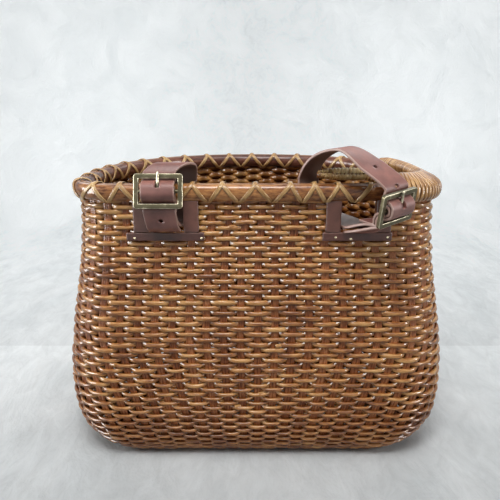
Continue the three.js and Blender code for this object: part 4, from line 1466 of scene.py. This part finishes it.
@dataclass
class BuckledStrap:
    """Leather strap with its centre-bar buckle and prong."""

    hand: Hand
    middle: Point
    along_bar: Point
    to_tip: Point
    loop: Route
    tip: Route
    holes: tuple[float, ...]
    short: Route = field(default_factory=list)
    size: BuckleSize = BuckleSize()
    step: float = 1.1

    def __post_init__(self) -> None:
        """Sets up the buckle's frame and the strap's curve."""
        x = unit(np.array(self.along_bar))
        z = unit(np.cross(x, np.array(self.to_tip)))
        self.axes = np.stack([x, np.cross(z, x), z])
        self.centre = np.array(self.middle)
        fold = [(self.world(0.0, *spot), x) for spot in self.size.fold_points()]
        tongue = [(self.world(0.0, *spot), x) for spot in self.size.tongue_points()]
        places, widths = zip(*self.short, *fold, *self.loop, *tongue, *self.tip)
        self.ribbon = Ribbon(np.array(places), unit(np.array(widths)))
        self.prong_stop = float(len(self.short) + len(fold) + len(self.loop) + 1 + self.size.steps)

    def world(self, x: float, y: float, z: float) -> np.ndarray:
        """Place of a point given in the buckle's frame."""
        return self.centre + np.array([x, y, z]) @ self.axes

    def build(self) -> None:
        """Builds the strap, the buckle and the prong."""
        punch(self.finish_piece(self.strap(), "strap", "leather"), self.cutters())
        self.finish_piece(self.buckle(), "buckle", "frame")
        self.finish_piece(self.prong(), "prong", "wire")

    def finish_piece(self, skin: Skin, body: str, kind: str) -> bpy.types.Object:
        """Makes a skin the piece for the body and node of one name on this side."""
        name = f"{self.hand.value}_{body}"
        return skin.piece(f"{name}_{kind}", name, body=name)

    def strap(self) -> Skin:
        """Strap with its cut edges."""
        half, thick = self.size.strap_width / 2, self.size.strap / 2
        corner = soft_corner(half, thick, self.size.strap_soft, 4)
        top = np.linspace(half - 2.0, 2.0 - half, 7)
        upper = np.concatenate([corner, np.stack([top, np.full(7, thick)], -1), corner[::-1] * [-1, 1]])
        section = np.concatenate([upper, upper[::-1] * [1, -1]])
        edge = within(half - np.abs(section[:, 0]), *self.size.strap_edge)
        frames = [self.ribbon.frame(float(at)) for at in self.ribbon.stops(self.step)]
        skin = Skin(STRAP_HIDE)
        skin.sweep(extrude(*(np.array(part) for part in zip(*frames)), section), edge=edge[None, :],
                   flesh=(section[None, :, 1] < 0).astype(float))
        return skin

    def cutters(self) -> list[Cutter]:
        """Cutters of the strap: the prong's way through fold and tongue, and the spare holes."""
        size = self.size
        reach = size.fold + size.slot
        boxes = [((-size.slot, -reach, -reach), (size.slot, reach, size.fold + size.strap / 2 + 0.15)),
                 ((-size.slot, size.slot_start, size.fold - size.prong - 2 * size.play),
                  (size.slot, size.bar_reach - size.bar / 2, size.crest + size.strap))]
        made = []
        for low, high in boxes:
            middle, halves = zip(*(((a + b) / 2, (b - a) / 2) for a, b in zip(low, high)))
            made.append(Cutter(self.world(*middle), self.axes, halves))
        for count in self.holes:
            middle, across, normal = self.ribbon.frame(self.ribbon.along(self.prong_stop, count * size.hole_spacing))
            axes = np.stack([across, np.cross(normal, across), normal])
            made.append(Cutter(middle, axes, (size.hole, size.hole, size.strap / 2 + 0.3), True))
        return made

    def buckle(self) -> Skin:
        """Buckle: a soft-edged frame and a round centre bar."""
        size = self.size
        wide, high = (size.width - size.bar) / 2, size.bar_reach
        corner = soft_corner(size.bar / 2, size.thickness / 2, size.soft, 5)
        section = np.concatenate([corner, corner[::-1] * [-1, 1], corner * [-1, -1], corner[::-1] * [1, -1]])
        radius = np.maximum(size.corner + section[:, 0], 0.15)
        rings = []
        for quarter, (sx, sy) in enumerate(((1, 1), (-1, 1), (-1, -1), (1, -1))):
            for a in np.linspace(0.0, math.pi / 2, 9) + quarter * math.pi / 2:
                across = sx * (wide + section[:, 0] - radius) + radius * math.cos(a)
                along = sy * (high + section[:, 0] - radius) + radius * math.sin(a)
                rings.append([self.world(*spot) for spot in zip(across, along, section[:, 1])])
        rubbed = np.tile([0.15, 0.75, 1.0, 0.75, 0.15], 4)
        skin = Skin(BRASS)
        skin.sweep(np.array(rings), closed=True, edge=rubbed[None, :])
        bar = np.array([self.world(x, 0.0, 0.0) for x in np.linspace(-wide, wide, 12)])
        skin.sweep(tube(bar, self.axes[1], size.centre_bar, size.centre_bar, 14))
        return skin

    def prong(self) -> Skin:
        """Prong: bent round the centre bar, tapered to its tip on the far bar."""
        size = self.size
        bend = [(size.fold * math.cos(a), size.fold * math.sin(a)) for a in np.radians(np.linspace(340.0, 90.0, 20))]
        tip = size.bar_reach + size.bar / 2 + size.overhang
        shank = [(y, size.fold) for y in np.linspace(0.6, tip, 16)]
        path = np.array([self.world(0.0, y, z) for y, z in bend + shank])
        taper = np.concatenate([np.full(len(bend), 1.0), np.linspace(1.0, size.prong_taper, len(shank))])
        taper[-1] = size.prong_tip
        skin = Skin(BRASS)
        skin.sweep(tube(path, self.axes[0], size.prong * size.prong_flat * taper, size.prong * taper, 12),
                   edge=np.linspace(0.2, 0.9, len(path)))
        return skin


def left_strap(shape: BodyShape, rim: Rim) -> BuckledStrap:
    """Strap pulled close to the rim, its buckle square to the front."""
    x, front, sill, top = shape.windows[0], shape.front_y, shape.window_sill, shape.rim_height
    level, face, inside = rim.level + rim.sag, rim.face_y, rim.inside_y
    wide = (1.0, 0.0, 0.0)
    loop = [(x - 1.5, front - 6.0, sill + 9.0), (x, front + 3.0, sill + 4.6), (x + 2.0, inside + 6.0, sill + 3.8),
            (x + 4.0, inside + 11.5, sill + 12.0), (x + 9.5, inside + 11.0, level), (x + 11.0, inside + 7.0, top + 8.5),
            (x + 8.6, inside - 3.0, top + 13.0), (x + 3.6, face + 4.0, top + 12.8)]
    tip = [(x - 1.0, front - 10.0, sill + 6.6), (x - 0.3, front - 5.5, sill + 2.9)]
    return BuckledStrap(Hand.LEFT, (x - 2.5, face - 9.0, level + 2.0), wide, (0.0, 0.31, 0.95),
                        [(place, wide) for place in loop], [(place, wide) for place in tip], (1.33,))


def right_strap(shape: BodyShape, rim: Rim) -> BuckledStrap:
    """Strap buckled loosely, turned to the side so that its loop stands open over the rim."""
    x, front, sill, top = shape.windows[1], shape.front_y, shape.window_sill, shape.rim_height
    level, face, inside = rim.level + rim.sag, rim.face_y, rim.inside_y
    loop = [((x + 11.0, front - 10.5, sill + 11.0), (0.87, 0.48, 0.06)),
            ((x + 0.4, front - 5.0, sill + 5.4), (1.0, 0.05, 0.0)),
            ((x, front + 2.0, sill + 4.0), (1.0, 0.0, 0.0)),
            ((x - 6.0, inside + 8.0, sill + 4.0), (0.83, 0.55, 0.03)),
            ((x - 20.0, inside + 13.0, sill + 8.6), (0.52, 0.84, 0.14)),
            ((x - 33.5, inside + 13.0, level - 7.0), (0.55, 0.72, 0.43)),
            ((x - 36.0, inside + 13.0, top), (0.75, 0.66, -0.05)),
            ((x - 30.0, inside + 8.0, top + 15.0), (0.58, 0.77, -0.12)),
            ((x - 12.5, inside - 8.0, top + 24.5), (0.56, 0.83, 0.0)),
            ((x + 4.0, face - 8.0, top + 14.5), (0.77, 0.62, 0.12))]
    tip = [((x + 14.5, front - 13.0, sill + 8.6), (0.87, 0.48, 0.06)),
           ((x + 5.0, front - 9.0, sill + 4.4), (0.97, 0.24, 0.03)),
           ((x + 0.2, front - 5.4, sill + 1.7), (1.0, 0.02, 0.0))]
    short = [((x + 9.0, front - 9.8, sill + 13.4), (0.95, 0.30, 0.05))]
    return BuckledStrap(Hand.RIGHT, (x + 22.0, face - 18.0, level - 8.0), (0.81, 0.58, 0.08), (0.05, -0.21, 0.976),
                        loop, tip, (-1.0, -2.0), short)


# Edging strips

SILL_REACH = {Hand.LEFT: (6.0, 4.0), Hand.RIGHT: (2.2, 1.4)}
NAILS = {Hand.LEFT: ((-24.2, 2.2), (26.7, 2.2)), Hand.RIGHT: ((-17.0, 2.8), (-5.2, 1.6), (22.6, 2.9))}
STRIP_LEVELS = [(0.05, 0.0, 1.0), (0.75, 0.0, 1.0), (0.97, 0.35, 0.7), (1.0, 0.9, 0.15), (1.0, 2.4, 0.0)]


@dataclass
class Edgings:
    """Leather strips nailed round the strap windows."""

    shape: BodyShape
    width: float = 11.5
    top_rise: float = 2.4
    sill_height: float = 6.4
    sill_rise: float = 0.5
    thickness: float = 2.0
    soft: float = 0.5
    step: float = 1.6
    wobble: float = 0.16
    gap: float = 0.3
    nail: float = 0.95
    nail_rise: float = 0.6
    rng: np.random.Generator = field(default_factory=lambda: np.random.default_rng(5))

    def face(self, x: float, height: float) -> float:
        """Y of the outer front face."""
        side, front, _, corner = self.shape.section(height)
        past = max(0.0, abs(x) - (side - corner))
        return self.shape.shift - front + corner - math.sqrt(corner * corner - past * past)

    def build(self) -> None:
        """Builds the strips and their nails."""
        nails = Skin(NAIL)
        top = self.shape.neck_height + self.top_rise
        ledge = self.shape.window_sill - self.gap + self.sill_rise
        foot, low = ledge + self.gap, ledge - self.sill_height
        for hand, x in zip(Hand, self.shape.windows):
            left, right = x - self.shape.window_width / 2, x + self.shape.window_width / 2
            far_left, far_right = left - self.width, right + self.width
            past_left, past_right = SILL_REACH[hand]
            strips = [("left_edging", TRIM_HIDE, (far_left, left, foot, top)),
                      ("right_edging", TRIM_HIDE, (right, far_right, foot, top)),
                      ("sill_edging", SILL_HIDE, (far_left - past_left, far_right + past_right, low, ledge))]
            for name, finish, box in strips:
                skin = Skin(finish)
                self.strip(skin, *box)
                skin.piece(f"{hand.value}_{name}_leather", f"{hand.value}_window_{name}")
            for nail_x, nail_z in NAILS[hand]:
                self.dome(nails, x + nail_x, low + nail_z)
        nails.piece("edging_nails")

    def strip(self, skin: Skin, x0: float, x1: float, z0: float, z1: float) -> None:
        """Adds one strip, a little uneven, with soft edges.

        Args:
            skin: Mesh that takes it.
            x0: Left edge.
            x1: Right edge.
            z0: Lower edge.
            z1: Upper edge.
        """
        soft = self.soft
        ring = [(x0 + soft, z0), (x1 - soft, z0), (x1, z0 + soft), (x1, z1 - soft), (x1 - soft, z1), (x0 + soft, z1),
                (x0, z1 - soft), (x0, z0 + soft)]
        path = []
        for (xa, za), (xb, zb) in zip(ring, ring[1:] + ring[:1]):
            count = max(1, int(math.hypot(xb - xa, zb - za) / self.step))
            path += [(xa + (xb - xa) * k / count, za + (zb - za) * k / count) for k in range(count)]
        wobble = self.rng.normal(0.0, self.wobble, (len(path), 2))
        wobble = (wobble + np.roll(wobble, 1, 0) + np.roll(wobble, -1, 0)) / 2
        middle = np.array([(x0 + x1) / 2, (z0 + z1) / 2])
        away = np.array(path) + wobble - middle
        rings = []
        for depth, inset, _ in STRIP_LEVELS:
            spots = middle + away * (1 - inset / np.maximum(np.abs(away).max(0), inset + 0.1))
            rings.append([(x, self.face(x, z) - self.gap - depth * self.thickness, z) for x, z in spots])
        skin.sweep(np.array(rings), edge=np.array([edge for _, _, edge in STRIP_LEVELS]))

    def dome(self, skin: Skin, x: float, z: float) -> None:
        """Adds one nail head on a strip."""
        base = self.face(x, z) - self.gap - self.thickness
        rings = []
        for rise in np.linspace(-0.15, 0.95, 6):
            radius = self.nail * math.sqrt(max(0.02, 1 - max(rise, 0.0) ** 2))
            y = base - self.nail_rise * rise * self.nail
            rings.append([(a, y, b) for a, b in disc(x, z, radius, 12)])
        skin.sweep(np.array(rings), edge=np.linspace(0.1, 1.0, 6))


# Stage


@dataclass(frozen=True)
class Paper(Finish):
    """Pale crumpled paper of the floor and backdrop, as bright to the camera as the photograph's.

    Spans are depths behind the part's middle, or distances aside, in metres.
    """

    light: Rgb = (0.81, 0.838, 0.845)
    dim: Rgb = (0.71, 0.745, 0.755)
    stretch: Point = (1.0, 0.5, 1.0)
    wrinkle: float = 9.0
    grain: float = 55.0
    front: Span = (-0.32, 0.11)
    front_shade: float = 0.44
    bend_shade_edge: Span = (0.1185, 0.1195)
    bend_shade_fade: Span = (0.12, 0.42)
    # Darkness of the painted shade line behind the basket.
    crease: float = 0.9
    far: Span = (0.12, 1.0)
    far_light: float = 0.52
    aside: Span = (0.0, 0.55)
    aside_light: float = 0.45
    near: Span = (-1.2, -0.3)
    near_light: float = 0.75

    def shade(self, shader: Shader) -> None:
        """Builds the nodes of the finish."""
        ground = shader.body()
        where = shader.stretched(ground, self.stretch)
        wrinkles = shader.noise(where, self.wrinkle, 5.0, 0.6, 1.2)
        fine = shader.noise(where, self.grain, 6.0, 0.7, 0.8)
        # The wrinkles also shift the colour between dim and light: painted shade of the crumples, besides their bump.
        paper = shader.ramp(wrinkles, [(0.3, self.dim), (0.62, self.light)])
        split = shader.add("SeparateXYZ", {"Vector": ground}).outputs
        depth, aside = split["Y"], shader.math("ABSOLUTE", split["X"])
        # Painted shade: a faint dark line across the paper behind the basket, fading away behind it, standing for the
        # shade of a bend in the paper.
        crease = shader.times(shader.span(depth, *self.bend_shade_edge), shader.span(depth, *self.bend_shade_fade, 1.0, 0.0))
        # Painted shade: the paper darkens towards the front, down to the front share at the front edge.
        tone = shader.times(shader.span(depth, *self.front, self.front_shade, 1.0),
                            shader.span(crease, 0.0, 1.0, 1.0, self.crease))
        tone = shader.times(tone, shader.span(fine, 0.3, 0.7, 0.9, 1.08))
        far = shader.times(shader.span(depth, *self.far, 0.0, self.far_light),
                           shader.span(aside, *self.aside, self.aside_light, 1.0))
        glow = shader.plus(far, shader.span(depth, *self.near, self.near_light, 0.0))
        shader.set(Base_Color=shader.mix(1.0, paper, tone, "MULTIPLY"), Roughness=0.85, Specular_IOR_Level=0.2,
                   Emission_Color=paper, Emission_Strength=shader.times(shader.span(shader.seen(), 0.0, 1.0), glow))
        folds = shader.math("ABSOLUTE", shader.math("SUBTRACT", wrinkles, 0.5))
        shader.bump(shader.plus(shader.span(folds, 0.0, 0.2), shader.times(fine, 0.8)), 5.0, 0.34)


@dataclass(frozen=True)
class Lamp:
    """Square soft light aimed at the basket; with a height it is a pane seen only as a reflection."""

    name: str
    place: Point
    width: float
    power: float
    height: float = 0.0

    def build(self, aim: Point) -> None:
        """Adds the light.

        Args:
            aim: Place that it shines at.
        """
        data = bpy.data.lights.new(self.name, "AREA")
        data.size, data.energy = self.width * MM, self.power
        lamp = bpy.data.objects.new(self.name, data)
        bpy.context.collection.objects.link(lamp)
        lamp.location = Vector(self.place) * MM
        lamp.rotation_euler = (Vector(aim) * MM - lamp.location).to_track_quat("-Z", "Y").to_euler()
        lamp.visible_camera = False
        if self.height:
            data.shape, data.size_y = "RECTANGLE", self.height * MM
            lamp.visible_diffuse = False


LAMPS = (
    Lamp("left_window", (-850.0, -140.0, 380.0), 170.0, 2.0),
    Lamp("right_window", (820.0, -420.0, 520.0), 190.0, 1.4),
    Lamp("left_pane", (-850.0, -440.0, 410.0), 330.0, 16.0, 800.0),
    Lamp("right_pane", (860.0, -480.0, 420.0), 190.0, 8.0, 700.0),
    Lamp("overhead", (0.0, -350.0, 1200.0), 760.0, 6.7),
    Lamp("key", (-60.0, -450.0, 880.0), 260.0, 2.8),
    Lamp("behind_left", (-520.0, 640.0, 820.0), 420.0, 1.4),
    Lamp("behind_right", (520.0, 640.0, 820.0), 420.0, 1.4),
)


@dataclass(frozen=True)
class Studio:
    """Floor, backdrop, lights and camera."""

    floor_front: float = -3000.0
    bend_start: float = 620.0
    bend_radius: float = 420.0
    wall_height: float = 2400.0
    half_width: float = 3000.0
    surround: Rgb = (0.93, 0.96, 1.0)
    surround_light: float = 0.13
    surround_seen: float = 0.75
    aim: Point = (0.0, 0.0, 120.0)
    camera_place: Point = (-5.3, -460.2, 312.0)
    pitch: float = math.radians(17.5)
    lens: float = 36.07

    def build(self) -> None:
        """Builds everything round the object."""
        self.backdrop()
        self.lights()
        self.camera()

    def backdrop(self) -> None:
        """Builds the paper sweep that the basket stands on."""
        bend = np.linspace(0.0, math.pi / 2, 25)
        y = [self.floor_front, *(self.bend_start + self.bend_radius * np.sin(bend)),
             self.bend_start + self.bend_radius]
        z = [0.0, *(self.bend_radius * (1 - np.cos(bend))), self.wall_height]
        points = [(side * self.half_width * MM, a * MM, b * MM) for a, b in zip(y, z) for side in (-1, 1)]
        mesh = bpy.data.meshes.new("paper_sweep")
        mesh.from_pydata(points, [], [(i, i + 1, i + 3, i + 2) for i in range(0, len(points) - 2, 2)])
        for face in mesh.polygons:
            face.use_smooth = True
        sweep = bpy.data.objects.new("paper_sweep", mesh)
        bpy.context.collection.objects.link(sweep)
        mesh.materials.append(Paper("crumpled_paper", Slot.WEAVE).material())

    def lights(self) -> None:
        """Builds soft lights in front, above and behind, a tall bright pane on each side, and an even surround."""
        for lamp in LAMPS:
            lamp.build(self.aim)
        world = bpy.data.worlds.new("surround")
        bpy.context.scene.world = world
        shader = Shader(world, "Background")
        strength = shader.span(shader.seen(), 0.0, 1.0, self.surround_light, self.surround_seen)
        shader.set(Color=(*self.surround, 1.0), Strength=strength)

    def camera(self) -> None:
        """Adds the camera at the photograph's view."""
        data = bpy.data.cameras.new("view")
        data.lens, data.sensor_width = self.lens, 36.0
        data.clip_start, data.clip_end = 0.01, 20.0
        camera = bpy.data.objects.new("view", data)
        bpy.context.collection.objects.link(camera)
        camera.location = Vector(self.camera_place) * MM
        camera.rotation_euler = (math.pi / 2 - self.pitch, 0.0, 0.0)
        bpy.context.scene.camera = camera
        bpy.context.scene.view_settings.view_transform = "Standard"


def write_sizes() -> None:
    """Brings the view layer up to date; nothing is written."""
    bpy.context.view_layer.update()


def main() -> None:
    """Builds the basket and its stage."""
    logging.basicConfig(level=logging.INFO, format="%(message)s")
    shape = BodyShape()
    rim = Rim(shape)
    for part in (Weave(shape), rim, Edgings(shape), left_strap(shape, rim), right_strap(shape, rim), Studio()):
        part.build()
    write_sizes()


if __name__ == "__main__":
    main()
